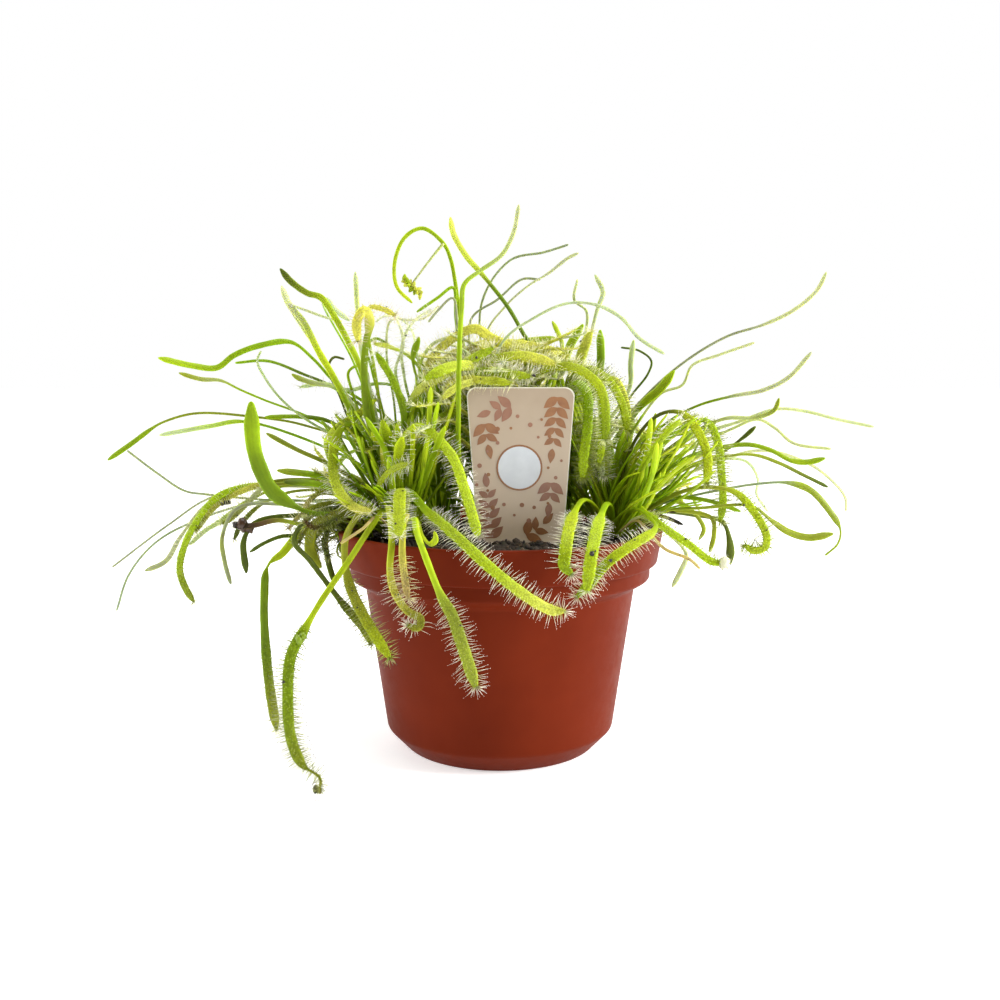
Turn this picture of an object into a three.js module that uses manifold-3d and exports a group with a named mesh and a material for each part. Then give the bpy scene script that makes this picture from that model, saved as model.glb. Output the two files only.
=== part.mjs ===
// A potted cape sundew: five crowns of strap leaves in peat, in a round plastic nursery pot with a label.
// Millimetres, +Z up. The pot's axis is the Z axis, the pot stands on z = 0 and the front is at -Y.

import * as THREE from "three";
import { mergeVertices } from "three/addons/utils/BufferGeometryUtils.js";
import Module from "manifold-3d";

const wasm = await Module();
wasm.setup();

// ---------- driving dimensions ----------

const POT = {
  rimRadius: 45,
  height: 61.3,
  bandRadius: 43.4,
  bandBottom: 51.9,
  neckRadius: 41.5,
  neckBottom: 47.8,
  bodyTopRadius: 37.4,
  bodyTop: 45.4,
  bodyBottomRadius: 31.7,
  bodyBottom: 6,
  chamferRadius: 26.7,
  footRadius: 26,
  wall: 1.3,
  rimThickness: 2,
  edge: 0.6,
  sides: 30,
};
const DRAIN = { count: 4, radius: 3.4, fromAxis: 16, sides: 10 };

const FIT_GAP = 0.4; // between solids of different nodes that touch
const SOIL = { edgeHeight: 56.6, mound: 1.4, lump: 0.55, topRings: 5 };

const LABEL = {
  centre: [5.4, -14],
  top: 99.6,
  topWidth: 28.2,
  cornerRadius: 2.4,
  shoulder: 56,
  shoulderWidth: 22.4,
  stakeTop: 46,
  stakeWidth: 9,
  tip: 18,
  tipWidth: 2,
  thickness: 0.7,
};

const STEM = { topRadius: 4.4, bottomRadius: 3, bottom: 44, top: 63.5, sides: 9 };
const LEAF_START = { height: 59.2, fromAxis: 1.8 };

const LEAF = {
  grain: 0.7, // spacing of the points that a leaf's rings are chosen from
  thinnest: 0.64,
  thickest: 0.95,
  longestRing: 16.5, // ring spacing on a petiole
  bladeRing: 13, // ring spacing on a blade with tentacles
  turn: 0.7, // a ring comes sooner where the leaf has turned this far, in radians
  tentacle: 3,
  slender: 2.2, // a bare leaf up to this width has a three-sided section
  tip: 1.3, // a tip rounds off over this many blade widths
  blunt: 0.45, // and ends at this share of its width
  neckShare: 0.75, // how much of its width a neck takes away
  neckReach: 2.2,
};

// Sections of a leaf, as corners across and out of its face, in shares of half its width and thickness.
const FLAT_SECTION = [[1, 1], [-1, 1], [-1, -1], [1, -1]];
const KEEL_SECTION = [[1, 0.9], [-1, 0.9], [0, -1.2]];

const COLOURS = { pot: 0x7a2f1c, soil: 0x1d1611, label: 0xbfae9a, leaf: 0x9fb81c, back: 0x7f9a1a };

// ---------- solids ----------

function solidOf(geometry) {
  const bare = geometry.index ? geometry.toNonIndexed() : geometry.clone();
  bare.deleteAttribute("normal");
  bare.deleteAttribute("uv");
  const merged = mergeVertices(bare, 1e-4);
  return new wasm.Manifold(
    new wasm.Mesh({
      numProp: 3,
      vertProperties: new Float32Array(merged.attributes.position.array),
      triVerts: new Uint32Array(merged.index.array),
    }),
  );
}

function geometryOf(solid) {
  const mesh = solid.getMesh();
  const geometry = new THREE.BufferGeometry();
  geometry.setAttribute("position", new THREE.BufferAttribute(mesh.vertProperties, mesh.numProp));
  geometry.setIndex(new THREE.BufferAttribute(mesh.triVerts, 1));
  geometry.computeVertexNormals();
  return geometry;
}

// A closed solid of revolution about Z from a profile of [radius, height] points that starts and ends on Z.
function lathe(profile, sides) {
  const points = profile.map(([radius, height]) => new THREE.Vector2(radius, height));
  return new THREE.LatheGeometry(points, sides).rotateX(Math.PI / 2);
}

function upright(radiusTop, radiusBottom, bottom, top, sides) {
  const geometry = new THREE.CylinderGeometry(radiusTop, radiusBottom, top - bottom, sides);
  return geometry.rotateX(Math.PI / 2).translate(0, 0, (top + bottom) / 2);
}

function meshOf(name, geometry, colour, roughness) {
  const material = new THREE.MeshStandardMaterial({ color: colour, roughness, metalness: 0 });
  const mesh = new THREE.Mesh(geometry, material);
  mesh.name = name;
  return mesh;
}

// ---------- pot and soil ----------

const INNER = {
  rim: POT.rimRadius - POT.rimThickness,
  neck: POT.neckRadius - POT.wall,
  body: POT.bodyTopRadius - POT.wall,
  bottom: POT.bodyBottomRadius - POT.wall,
  foot: POT.footRadius - POT.edge,
  floor: POT.wall,
  step: POT.bodyBottom + POT.wall,
};

function pot() {
  const profile = [
    [0, 0],
    [POT.footRadius, 0],
    [POT.chamferRadius, POT.edge],
    [POT.bodyBottomRadius - POT.edge, POT.bodyBottom - POT.edge],
    [POT.bodyBottomRadius, POT.bodyBottom],
    [POT.bodyTopRadius, POT.bodyTop],
    [POT.neckRadius, POT.neckBottom],
    [POT.neckRadius, POT.bandBottom],
    [POT.bandRadius, POT.bandBottom],
    [POT.rimRadius, POT.height - POT.edge],
    [POT.rimRadius - POT.edge, POT.height],
    [INNER.rim + POT.edge, POT.height],
    [INNER.rim, POT.height - POT.edge],
    [INNER.neck, POT.neckBottom + POT.wall],
    [INNER.body, POT.bodyTop],
    [INNER.bottom, INNER.step],
    [INNER.foot, INNER.floor],
    [0, INNER.floor],
  ];
  let solid = solidOf(lathe(profile, POT.sides));
  for (let i = 0; i < DRAIN.count; i++) {
    const angle = ((i + 0.5) / DRAIN.count) * 2 * Math.PI;
    const hole = upright(DRAIN.radius, DRAIN.radius, -1, INNER.floor + 1, DRAIN.sides);
    hole.translate(DRAIN.fromAxis * Math.cos(angle), DRAIN.fromAxis * Math.sin(angle), 0);
    solid = solid.subtract(solidOf(hole));
  }
  return geometryOf(solid);
}

// The peat's height over its plain edge height: a low mound with lumps.
function peat(x, y) {
  const spread = (x * x + y * y) / (INNER.rim * INNER.rim);
  const waves = Math.sin(0.55 * x + 1.3) * Math.cos(0.47 * y) + 0.6 * Math.sin(0.31 * x - 0.66 * y + 2);
  return SOIL.mound * (1 - spread) + SOIL.lump * waves * (1 - 0.6 * spread);
}

// Radius of the pot's inner wall at a height above its neck.
function innerRadius(height) {
  const from = POT.neckBottom + POT.wall;
  const share = (height - from) / (POT.height - POT.edge - from);
  return INNER.neck + (INNER.rim - INNER.neck) * share;
}

function soil(holes) {
  const edge = innerRadius(SOIL.edgeHeight) - FIT_GAP;
  const profile = [
    [0, INNER.floor + FIT_GAP],
    [INNER.foot - FIT_GAP, INNER.floor + FIT_GAP],
    [INNER.bottom - FIT_GAP, INNER.step + FIT_GAP],
    [INNER.body - FIT_GAP, POT.bodyTop + FIT_GAP],
    [INNER.neck - FIT_GAP, POT.neckBottom + POT.wall + FIT_GAP],
    [edge, SOIL.edgeHeight],
  ];
  for (let i = SOIL.topRings - 1; i >= 0; i--) {
    profile.push([(edge * i) / SOIL.topRings, SOIL.edgeHeight]);
  }
  const ground = lathe(profile, POT.sides);
  const position = ground.attributes.position;
  for (let i = 0; i < position.count; i++) {
    const [x, y, z] = [position.getX(i), position.getY(i), position.getZ(i)];
    const onTop = z > SOIL.edgeHeight - 0.01 && Math.hypot(x, y) < edge - 0.01;
    if (onTop) position.setZ(i, z + peat(x, y));
  }
  let solid = solidOf(ground);
  for (const hole of holes) solid = solid.subtract(hole);
  return geometryOf(solid);
}

// ---------- label ----------

// The label's outline grown by a margin, as a flat plate of the given thickness standing in its place.
function labelPlate(margin, thickness) {
  const side = (width) => width / 2 + margin;
  const right = [
    [side(LABEL.tipWidth), LABEL.tip - margin],
    [side(LABEL.stakeWidth), LABEL.stakeTop],
    [side(LABEL.shoulderWidth), LABEL.shoulder],
  ];
  const [corner, top] = [side(LABEL.topWidth), LABEL.top + margin];
  const shape = new THREE.Shape();
  shape.moveTo(-right[0][0], right[0][1]);
  for (const [x, z] of right) shape.lineTo(x, z);
  shape.lineTo(corner, top - LABEL.cornerRadius);
  shape.quadraticCurveTo(corner, top, corner - LABEL.cornerRadius, top);
  shape.lineTo(LABEL.cornerRadius - corner, top);
  shape.quadraticCurveTo(-corner, top, -corner, top - LABEL.cornerRadius);
  for (const [x, z] of right.slice(1).reverse()) shape.lineTo(-x, z);
  const settings = { depth: thickness, bevelEnabled: false, curveSegments: 4 };
  const plate = new THREE.ExtrudeGeometry(shape, settings);
  return plate.rotateX(Math.PI / 2).translate(LABEL.centre[0], LABEL.centre[1] + thickness / 2, 0);
}

// ---------- leaf routes ----------

// A route point is [across, up, depth]: across and up are read on the upright plane through the pot's axis,
// as it looks from EYE, and depth is how far behind that plane the point really lies.
const EYE = { front: 300, height: 104 };

function place([across, up, depth]) {
  const nearness = (depth + EYE.front) / EYE.front;
  return new THREE.Vector3(across * nearness, depth, EYE.height + (up - EYE.height) * nearness);
}

// The same, the other way: how a point looks from EYE, as [across, up].
function seen(point) {
  const nearness = (point.y + EYE.front) / EYE.front;
  return [point.x / nearness, EYE.height + (point.z - EYE.height) / nearness];
}

// Leaves drawn by hand: petiole width, blade width, the route point where the blade begins, and the route.
const hairy = (petiole, blade, from, ...route) => ({ petiole, blade, from, route, hairs: true });
const bare = (petiole, blade, from, ...route) => ({ petiole, blade, from, route, hairs: false });
const stalk = (width, ...route) => ({ petiole: width, blade: width, from: 1, route, hairs: false });
// The same with a withered thread of a length at its tip, or with a pinched neck at a route point.
const tailed = (tail, leaf) => ({ ...leaf, tail });
const necked = (neck, leaf) => ({ ...leaf, neck });

const LEFT_FRONT = [
  hairy(1.6, 2.7, 1, [-33, 76, -9], [-30, 81, -11], [-23, 88.5, -15], [-14, 81.5, -21], [-9.5, 70, -29],
    [-6, 57.5, -39]),
  hairy(1.5, 2.1, 1, [-34, 70.5, -12], [-32.5, 74, -14], [-29.5, 76.8, -17], [-25, 78.3, -20]),
  hairy(2, 3.2, 2, [-26, 69, -18], [-27.5, 71, -25], [-28, 66, -34], [-28, 57.5, -46]),
  hairy(1.6, 1.9, 4, [-31, 66, -18], [-30.3, 61, -33], [-30.2, 56, -41], [-30.8, 48, -43],
    [-29.5, 42, -43.5], [-26, 36.8, -45], [-22.3, 34.5, -46], [-23, 32, -47], [-26.5, 32.8, -47]),
  hairy(1.6, 1.8, 3, [-26, 64, -22], [-27, 60, -38], [-27.3, 53, -44], [-26.8, 47, -44],
    [-25.8, 40, -45]),
  hairy(2, 2.7, 2, [-26.5, 70.5, -12], [-20, 64.8, -27], [-12, 57.8, -44], [-4, 50.3, -50],
    [3, 44.3, -51], [10, 39.3, -51], [15, 36.9, -50], [18.5, 36.8, -50]),
  hairy(2, 2.9, 4, [-24, 63, -30], [-23, 58.5, -43], [-20, 50, -48], [-16.5, 41, -49], [-13.6, 35.7, -49],
    [-10.3, 26, -48], [-6.7, 14.3, -46]),
  bare(1.3, 1.7, 3, [-23.5, 63, -24], [-21.5, 58, -38], [-19.3, 55.8, -45], [-17.9, 57.3, -47],
    [-18.3, 59.5, -47]),
  hairy(2, 2.8, 3, [-37, 80, -4], [-41.5, 89.5, -4], [-45, 86, -6], [-46.2, 78, -10], [-45, 71.5, -16],
    [-41, 66.5, -22], [-35.5, 64.6, -27]),
  tailed(7, hairy(1.5, 2.7, 5, [-31.5, 65, -14], [-36, 60.5, -28], [-42, 51.5, -36], [-50, 40, -40],
    [-54.5, 32.5, -42], [-59, 24, -43], [-60.2, 13, -44], [-59.6, 0, -45], [-56.5, -8, -45.5],
    [-51.5, -12, -45.5], [-51.8, -15.6, -45])),
  hairy(1.4, 2.1, 5, [-42, 66, -8], [-52, 64, -14], [-57.5, 57, -20], [-53, 51, -24], [-45, 40, -29],
    [-38, 31, -33], [-36.3, 27, -34]),
  hairy(1.7, 2.7, 3, [-36, 66.5, -16], [-43, 57.5, -27], [-42.8, 47, -32], [-41, 41, -34],
    [-36.5, 32, -37], [-31, 23, -39]),
  bare(1.3, 1.6, 3, [-40, 67, -2], [-46.5, 64, -4], [-48.6, 57, -6], [-48, 51, -8], [-46.3, 44.5, -10]),
  stalk(0.9, [-34, 63.5, -20], [-38.5, 60, -33], [-44.5, 56, -38]),
  bare(1.2, 3.9, 3, [-40, 63.5, -10], [-53, 64.8, -17], [-58, 67, -19], [-63, 70.5, -20], [-66, 76, -21],
    [-68, 83, -22], [-68.4, 95.5, -23]),
  bare(1.8, 2, 2, [-36, 80, -4], [-45, 101, -4], [-49.5, 109, -5], [-53.5, 117, -6], [-57.3, 121.8, -7],
    [-59.3, 126.8, -8]),
  bare(1.7, 1.9, 2, [-33, 80, -6], [-38, 104, -8], [-41.7, 112.3, -9], [-44.5, 117.5, -10],
    [-48.6, 123.6, -11], [-52.3, 124.8, -11], [-56.8, 128, -11], [-59.6, 131.4, -11]),
  hairy(2, 2.6, 5, [-31, 75, -8], [-36.5, 92, -10], [-37.2, 104, -11], [-36.5, 112, -11.5],
    [-35.2, 117.3, -12], [-36.8, 120.3, -12.5], [-38.9, 117.5, -13], [-38.8, 111.5, -13]),
  hairy(1.2, 1.7, 4, [-31.5, 82, -3], [-34.5, 105, -3], [-36.5, 117, -4], [-35.5, 120.9, -5],
    [-31.8, 120.5, -6], [-28.3, 118.7, -7]),
  hairy(2, 2.5, 2, [-27.5, 78, -10], [-26.5, 92, -12], [-29, 100.5, -13], [-34, 109, -14]),
  bare(1.3, 1.4, 3, [-33, 85, 0], [-38, 110, 2], [-38.8, 121, 2], [-39.2, 130.5, 0]),
  bare(1.3, 1.4, 3, [-36, 70, -3], [-46, 77.5, -2], [-56, 82.2, -2], [-64.5, 86.8, -2]),
  bare(1.6, 2, 2, [-38, 70, -6], [-48, 74.5, -8], [-61.8, 76.5, -10]),
  bare(1.6, 2, 2, [-40, 68, -8], [-50, 72.5, -11], [-60, 73.3, -13]),
  necked(5, hairy(2.2, 2.6, 7, [-38, 65, -10], [-48, 63.5, -10], [-57, 57.5, -14], [-61, 53, -17],
    [-64.8, 50, -19], [-66.2, 40, -20], [-66.2, 28, -20], [-65.3, 15, -20], [-63.6, 2, -20])),
  bare(1.2, 1.6, 3, [-40, 62.8, -9], [-52, 61, -12], [-62, 62.5, -10], [-69, 61, -9], [-74.5, 60.8, -8]),
  bare(1, 1.3, 4, [-38, 64, -4], [-60, 67, -3], [-73, 66, -4], [-77.4, 58, -5], [-77, 51, -5],
    [-75.4, 44.3, -5]),
  bare(1.3, 1.9, 4, [-38, 63.5, -6], [-55, 64, -6], [-68, 62, -7], [-71.4, 57, -8], [-71, 47.5, -8]),
  hairy(1.4, 2.4, 3, [-41, 70, -2], [-46.5, 78, 0], [-48, 84, -1], [-44.5, 88.5, -2], [-39, 92, -3],
    [-33.8, 96.3, -4]),
  stalk(0.7, [-38, 80, 4], [-44, 97, 5], [-47, 104.5, 5], [-45.5, 107.5, 5], [-42.5, 107, 5]),
  stalk(0.8, [-36, 84, 4], [-40.5, 98, 5], [-41.5, 103.5, 5], [-39, 105.2, 5], [-36.5, 103.5, 5],
    [-36, 99, 5]),
  bare(1.6, 3, 3, [-40, 66, -12], [-47, 64, -14], [-52, 60, -16], [-53, 54, -17], [-50, 49, -18]),
  stalk(1.2, [-44, 64, -8], [-55, 58.5, -9], [-61, 58, -9], [-66, 56, -9], [-70, 53.5, -9]),
  stalk(0.8, [-36, 86, -1], [-47, 105, -3], [-55.5, 118, -6], [-57.3, 121.5, -7], [-53.7, 120.5, -7],
    [-47.8, 118.4, -7], [-43, 117.2, -7]),
  bare(0.8, 1.5, 4, [-33, 84, -1], [-40, 106, -3], [-48.3, 122.8, -8], [-47, 123.2, -8.5],
    [-44.8, 120.4, -9], [-40.8, 117.3, -9]),
  stalk(0.8, [-31, 86, 3], [-35, 104, 4], [-36.4, 110.5, 4], [-34, 112.6, 4], [-30.4, 111, 4]),
];

const RIGHT_FRONT = [
  hairy(1.2, 2.5, 4, [34, 76, -3], [39, 87.5, -4], [44.5, 92.2, -6], [50, 92.3, -9], [55, 86.5, -12],
    [57.4, 80, -14], [57.2, 72.5, -15]),
  hairy(1.2, 2.2, 3, [37, 75, -2], [48, 87, -2], [56.5, 90.3, -4], [60, 84.5, -7], [61.3, 76, -9],
    [61.9, 68, -10], [61.3, 62, -10]),
  bare(1.4, 1.8, 6, [40, 72, -2], [52, 80, 0], [62, 83, 1], [69, 83.6, 1], [75, 82, 1], [80.5, 79.2, 1],
    [85, 78.8, 1], [90, 79.9, 1]),
  bare(0.8, 1.1, 4, [40, 70, -4], [52, 77, -4], [62, 80.3, -4], [70, 80.8, -4], [77, 78.6, -4],
    [84, 75.2, -4], [91, 71.8, -4]),
  stalk(0.8, [42, 70, 2], [58, 78, 5], [72, 82, 6], [84, 79, 6], [91, 74.5, 5], [95.8, 69, 4],
    [96.2, 65, 4]),
  tailed(9, bare(0.8, 2.2, 4, [42, 66, -6], [56, 70, -8], [72, 72.8, -8], [80, 73, -8], [86, 71, -8],
    [91.5, 65.3, -8], [94.8, 60, -8], [94.3, 56, -8], [90.8, 52.6, -8])),
  bare(0.9, 2.1, 4, [42, 64.5, -12], [56, 66, -15], [70, 66.5, -16], [75.5, 62.5, -16], [80.5, 59.2, -16],
    [86, 57.7, -16], [93, 58.8, -16]),
  hairy(1.3, 2, 3, [42, 66, -10], [54, 71.5, -13], [65, 70.5, -15], [70.5, 65, -17], [74.2, 58.5, -18],
    [74, 55, -18], [71, 54, -18], [68, 55.7, -18]),
  hairy(1.6, 2, 2, [36.5, 67, -12], [40.5, 64.5, -22], [46, 60.3, -33], [53, 55.5, -37], [59, 51, -38],
    [62.8, 50.3, -38]),
  hairy(1, 2.5, 2, [37, 65.5, -18], [42.5, 62.5, -32], [42.8, 59.5, -42], [36, 55, -47],
    [30, 50.5, -48], [25, 44.5, -46.5], [21.3, 40.5, -46]),
  hairy(1.1, 3.2, 2, [31, 65, -10], [29.8, 67.2, -20], [28, 63.5, -34], [26.4, 57.5, -44],
    [25.3, 51, -48], [24.2, 42, -49]),
  hairy(1, 3.1, 2, [27, 65.5, -10], [23.5, 68.3, -20], [20.6, 64.5, -34], [19, 59, -44], [18.2, 53, -48],
    [18, 49.5, -48.5], [20.5, 47, -48.5]),
  bare(1, 1.2, 2, [40, 64.5, -8], [46, 65, -8], [52, 65.5, -8]),
  bare(1, 1.1, 2, [40, 63.5, -12], [45, 63.7, -14], [51, 61.3, -15]),
  bare(1.1, 1.3, 3, [42, 66.5, -4], [50, 67.5, -3], [54.5, 64, -3], [56.8, 60, -3], [55.5, 57, -3]),
  bare(1.1, 1.3, 3, [42, 64.5, -6], [52, 65, -9], [59, 63, -10], [59.6, 58, -10], [58.5, 53.5, -10]),
  bare(1.2, 2.6, 4, [42, 64.5, -2], [54, 64, 2], [62, 62, 4], [64, 57, 4], [64.4, 50, 4]),
  stalk(0.9, [42, 72, 2], [58, 79, 4], [68, 79, 4], [71.5, 74, 4], [71.2, 70, 4], [74.5, 65, 4]),
  bare(0.8, 1.5, 3, [44, 70, 6], [58, 79, 8], [67, 85.5, 9], [70.5, 88.7, 9]),
  bare(1.4, 1.6, 2, [38, 75, 4], [46, 85.5, 3], [52, 87.3, 2]),
  bare(1.1, 1.3, 2, [40, 68.5, -8], [50, 69, -9], [58, 68, -10], [67, 65, -11]),
  stalk(0.9, [38, 62.5, -22], [41.5, 59, -30], [46, 54.5, -32], [53, 51.5, -33], [56, 48.8, -33]),
  bare(0.8, 1.4, 3, [39, 63.5, -20], [46, 59.5, -29], [52, 53, -31], [50.5, 48, -31], [48.2, 43.5, -31]),
];

const LEFT_BACK = [
  bare(0.8, 1.7, 6, [-32, 80, 20], [-54, 89, 16], [-68, 91.3, 13], [-84, 92.2, 11], [-93, 89.7, 10],
    [-96, 88, 10], [-102, 83.7, 9], [-108.5, 79.3, 8]),
  bare(0.9, 1.5, 3, [-35, 76, 18], [-56, 86, 13], [-71, 90, 8], [-80, 88.7, 6], [-94, 86.2, 5]),
  bare(1.2, 1.4, 2, [-33, 80, 16], [-47, 90, 12], [-55, 91.3, 9], [-64.8, 91.2, 7]),
  stalk(0.7, [-40, 68, 16], [-60, 68, 10], [-81.5, 69.8, 5], [-87.5, 70.8, 4], [-94.5, 75.4, 3],
    [-103, 82, 2]),
  hairy(1.4, 2.1, 3, [-38, 72, 14], [-55, 73.5, 9], [-67, 72.5, 6], [-78, 69.3, 4], [-84.3, 62.4, 3],
    [-88.2, 55, 2], [-89.6, 48.6, 1], [-88.3, 43.6, 0], [-85.8, 39.2, 0]),
  bare(1, 1.6, 4, [-40, 70, 20], [-62, 72, 16], [-80, 68, 13], [-89, 58, 11], [-93.5, 51, 10],
    [-99.5, 48.2, 9]),
  stalk(0.7, [-36, 72, 24], [-60, 72, 22], [-80, 69, 20], [-92, 61.5, 19], [-108.5, 49.3, 17]),
  stalk(0.8, [-38, 66, 26], [-65, 68, 25], [-88, 61, 24], [-97, 55.5, 23], [-104, 47, 22],
    [-107.8, 36.8, 21]),
  bare(1, 1.9, 4, [-28, 88, 16], [-45, 100.5, 10], [-51, 107, 8], [-57, 111.6, 6], [-66, 110.6, 4],
    [-72.8, 108, 3], [-77.5, 104.7, 2], [-84, 105.2, 1], [-93.5, 107.4, 0]),
  bare(0.7, 1.4, 5, [-30, 76, 20], [-50, 90, 15], [-65, 96, 12], [-71.5, 98.8, 11], [-76.5, 101.2, 10],
    [-82, 101.6, 9], [-88, 103.3, 8]),
  stalk(0.8, [-28, 80, 14], [-50, 88.5, 9], [-60, 96, 5], [-65, 103, 3], [-66.4, 106.5, 2],
    [-65.3, 109.3, 1]),
  stalk(0.9, [-27, 84, 22], [-45, 99, 18], [-54, 103, 16], [-63.5, 106.5, 13], [-72.5, 106, 11]),
];

const RIGHT_BACK = [
  bare(0.8, 1.2, 5, [30, 85, 20], [40, 97, 16], [50.5, 106.3, 12], [62, 113.2, 9], [72, 116.4, 6],
    [80, 120.3, 4], [86, 125.5, 2], [88.5, 130.5, 1]),
  bare(1.8, 2.6, 2, [30, 82, 16], [39, 94.5, 12], [44, 99, 10], [47.8, 104, 8]),
  stalk(0.7, [32, 80, 18], [44, 97.5, 14], [50, 100, 12], [52.6, 105.3, 10], [60, 108.2, 8],
    [69.5, 111.5, 6]),
  bare(0.8, 1.3, 4, [32, 76, 16], [45, 89, 10], [54, 94.2, 7], [64, 97, 4], [72, 98.5, 2], [79, 102, 0],
    [85.2, 109, -2]),
  bare(1, 1.3, 3, [34, 72, 14], [50, 85, 8], [62, 90.8, 5], [70, 91, 3], [75.3, 93, 2], [76.7, 96.5, 2]),
  stalk(0.8, [36, 72, 18], [52, 85, 13], [66, 90, 10], [76, 93.4, 8], [84, 92.8, 6], [92, 90.8, 4],
    [103, 88.5, 2]),
  stalk(0.7, [36, 70, 20], [52, 82, 17], [64, 88, 14], [71, 90.6, 12], [76, 88, 10], [81, 84, 9],
    [91.5, 82.4, 7]),
  bare(1, 1.5, 3, [19, 88, 20], [24, 110, 16], [26.5, 120.5, 13], [28, 125, 12], [25.7, 129.8, 11]),
  stalk(0.9, [18, 88, 24], [23, 112, 20], [23.5, 120, 17], [20.2, 123, 15], [21, 128.5, 14]),
  bare(2, 2.4, 2, [22, 86, 22], [27.3, 104, 19], [27.3, 115, 17]),
  bare(1.2, 1.6, 2, [26, 84, 22], [35.5, 99, 18], [35.8, 106, 16], [36.5, 112.3, 15]),
  stalk(0.7, [27, 82, 25], [36, 97, 22], [40.5, 103, 20], [41.4, 106.5, 19], [38, 109.3, 18],
    [33, 110.2, 17]),
];

const MIDDLE = [
  bare(1.3, 1.3, 5, [-6, 66, -2], [-11, 78, -12], [-11.4, 95, -18], [-11, 112, -17], [-10.4, 121, -12],
    [-9.6, 127.3, -7], [-5, 131, -4], [0.5, 135, -2], [3.7, 141, -1], [5.1, 148.3, -1]),
  bare(1.2, 1.7, 5, [4, 80, 10], [9.7, 107.5, 8], [6, 114.5, 7], [2.2, 121, 6], [-5, 130, 5],
    [-9, 134.5, 4], [-12.5, 140.5, 3], [-13.4, 145, 2]),
  bare(0.7, 1.1, 5, [0, 90, 14], [-4, 113, 13], [1.5, 121.3, 12], [8, 127, 11], [13, 130, 10],
    [18.5, 134.2, 9], [21.3, 135.5, 8]),
  stalk(0.7, [-5, 95, 16], [-8, 117.5, 15], [-0.5, 123.2, 14], [6, 128.5, 13], [11, 128.4, 12]),
  stalk(0.7, [-3, 95, 20], [-5, 122, 19], [2.7, 133.5, 18], [12, 135.7, 16], [18.5, 137.7, 15]),
  bare(0.8, 1.1, 5, [-3, 100, -2], [1, 112, -3], [9, 118, -4], [18, 122, -4], [26, 121.7, -4],
    [33, 118.2, -4], [38, 112.7, -4], [45, 108.4, -4]),
  stalk(0.9, [-9, 95, 5], [-12, 118, 4], [-12.7, 126.3, 3], [-17, 123.5, 2], [-22.7, 119.7, 1]),
  stalk(0.7, [-8, 92, 2], [-11.5, 115, 0], [-12.8, 123.5, -1], [-17, 120, -2], [-19.5, 117, -3]),
  hairy(1.8, 3.4, 2, [-8, 84, 12], [-17, 99, 10], [-14, 107.5, 4], [-4, 109.3, 0], [6, 107.8, -3],
    [11, 105.5, -4]),
  hairy(1.8, 3.2, 2, [9, 84, 14], [20, 100, 11], [17, 107.5, 6], [7, 110.7, 3], [-4, 111, 2],
    [-11, 108.5, 1]),
  hairy(1.8, 3.2, 2, [5, 86, 8], [4, 99, 0], [-4, 104.5, -6], [-13, 105, -10], [-21, 101.5, -12]),
  hairy(1.8, 2.8, 2, [4, 86, 5], [8, 100.8, -2], [15, 105, -8], [22, 104, -12], [27.5, 99, -14],
    [29, 91, -15], [28.8, 84.5, -15]),
  bare(1.8, 2.4, 2, [10, 84, 10], [17, 104, 8], [19.3, 111, 7], [22.7, 116.5, 6]),
  bare(1.2, 1.4, 2, [9, 90, 16], [17, 110, 14], [15.5, 114.8, 13], [14.2, 117.3, 12]),
  bare(0.8, 1.8, 3, [0, 90, 18], [-2, 108, 17], [3, 111.2, 14], [15, 112.9, 10]),
  hairy(1, 1.8, 3, [-14, 90, 6], [-24, 107, 4], [-30, 110.3, 3], [-34.5, 111.2, 3]),
  bare(1, 2.4, 3, [-12, 92, 8], [-20, 104, 7], [-23.3, 109, 7], [-22, 113, 6]),
  hairy(1.8, 2.8, 2, [12, 84, 6], [20, 101, 2], [22.5, 109, 1], [25, 115, 0]),
  hairy(1.8, 2.8, 3, [-14, 76, 6], [-26, 86, 1], [-23.7, 97, -4], [-16.6, 102, -7], [-8.3, 106.6, -7],
    [-1.5, 110.2, -6]),
  hairy(1.8, 2.8, 2, [-10, 84, 10], [-20, 98, 6], [-18.7, 107, 2], [-11.6, 113.4, 0], [-6.7, 115.2, -1],
    [-2.3, 112.7, -2], [3.4, 110, -2]),
  hairy(1.8, 2.8, 2, [-2, 84, 10], [-6, 98, 4], [-5.6, 105, -4], [0.1, 107.4, -7], [7.2, 107.9, -9],
    [15.5, 105.6, -10]),
  hairy(1.8, 2.6, 2, [-8, 84, 6], [-12, 96, 0], [-8.6, 102.6, -8], [-2.3, 103.7, -11], [3.4, 102.8, -13],
    [8.9, 102.3, -14]),
  hairy(1.6, 2.4, 2, [10, 84, 10], [18, 99, 6], [23, 104.5, 2], [29, 102, -1], [33.5, 95, -3],
    [35.2, 87, -4]),
  hairy(1.8, 2.7, 2, [9, 82, 6], [16, 95, 0], [20.5, 100.5, -6], [23.7, 98, -10], [24.2, 90, -12],
    [23.2, 80.7, -13], [22.8, 74, -13]),
  hairy(1.2, 1.7, 2, [12, 80, 10], [22, 89, 6], [27, 87, 0], [28, 81, -4], [29.6, 74.5, -6]),
  hairy(1.8, 3, 3, [-14, 70, 8], [-26, 77, 4], [-22.4, 85, 0], [-16.7, 90.4, -2], [-10.6, 93.6, -3]),
];

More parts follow.
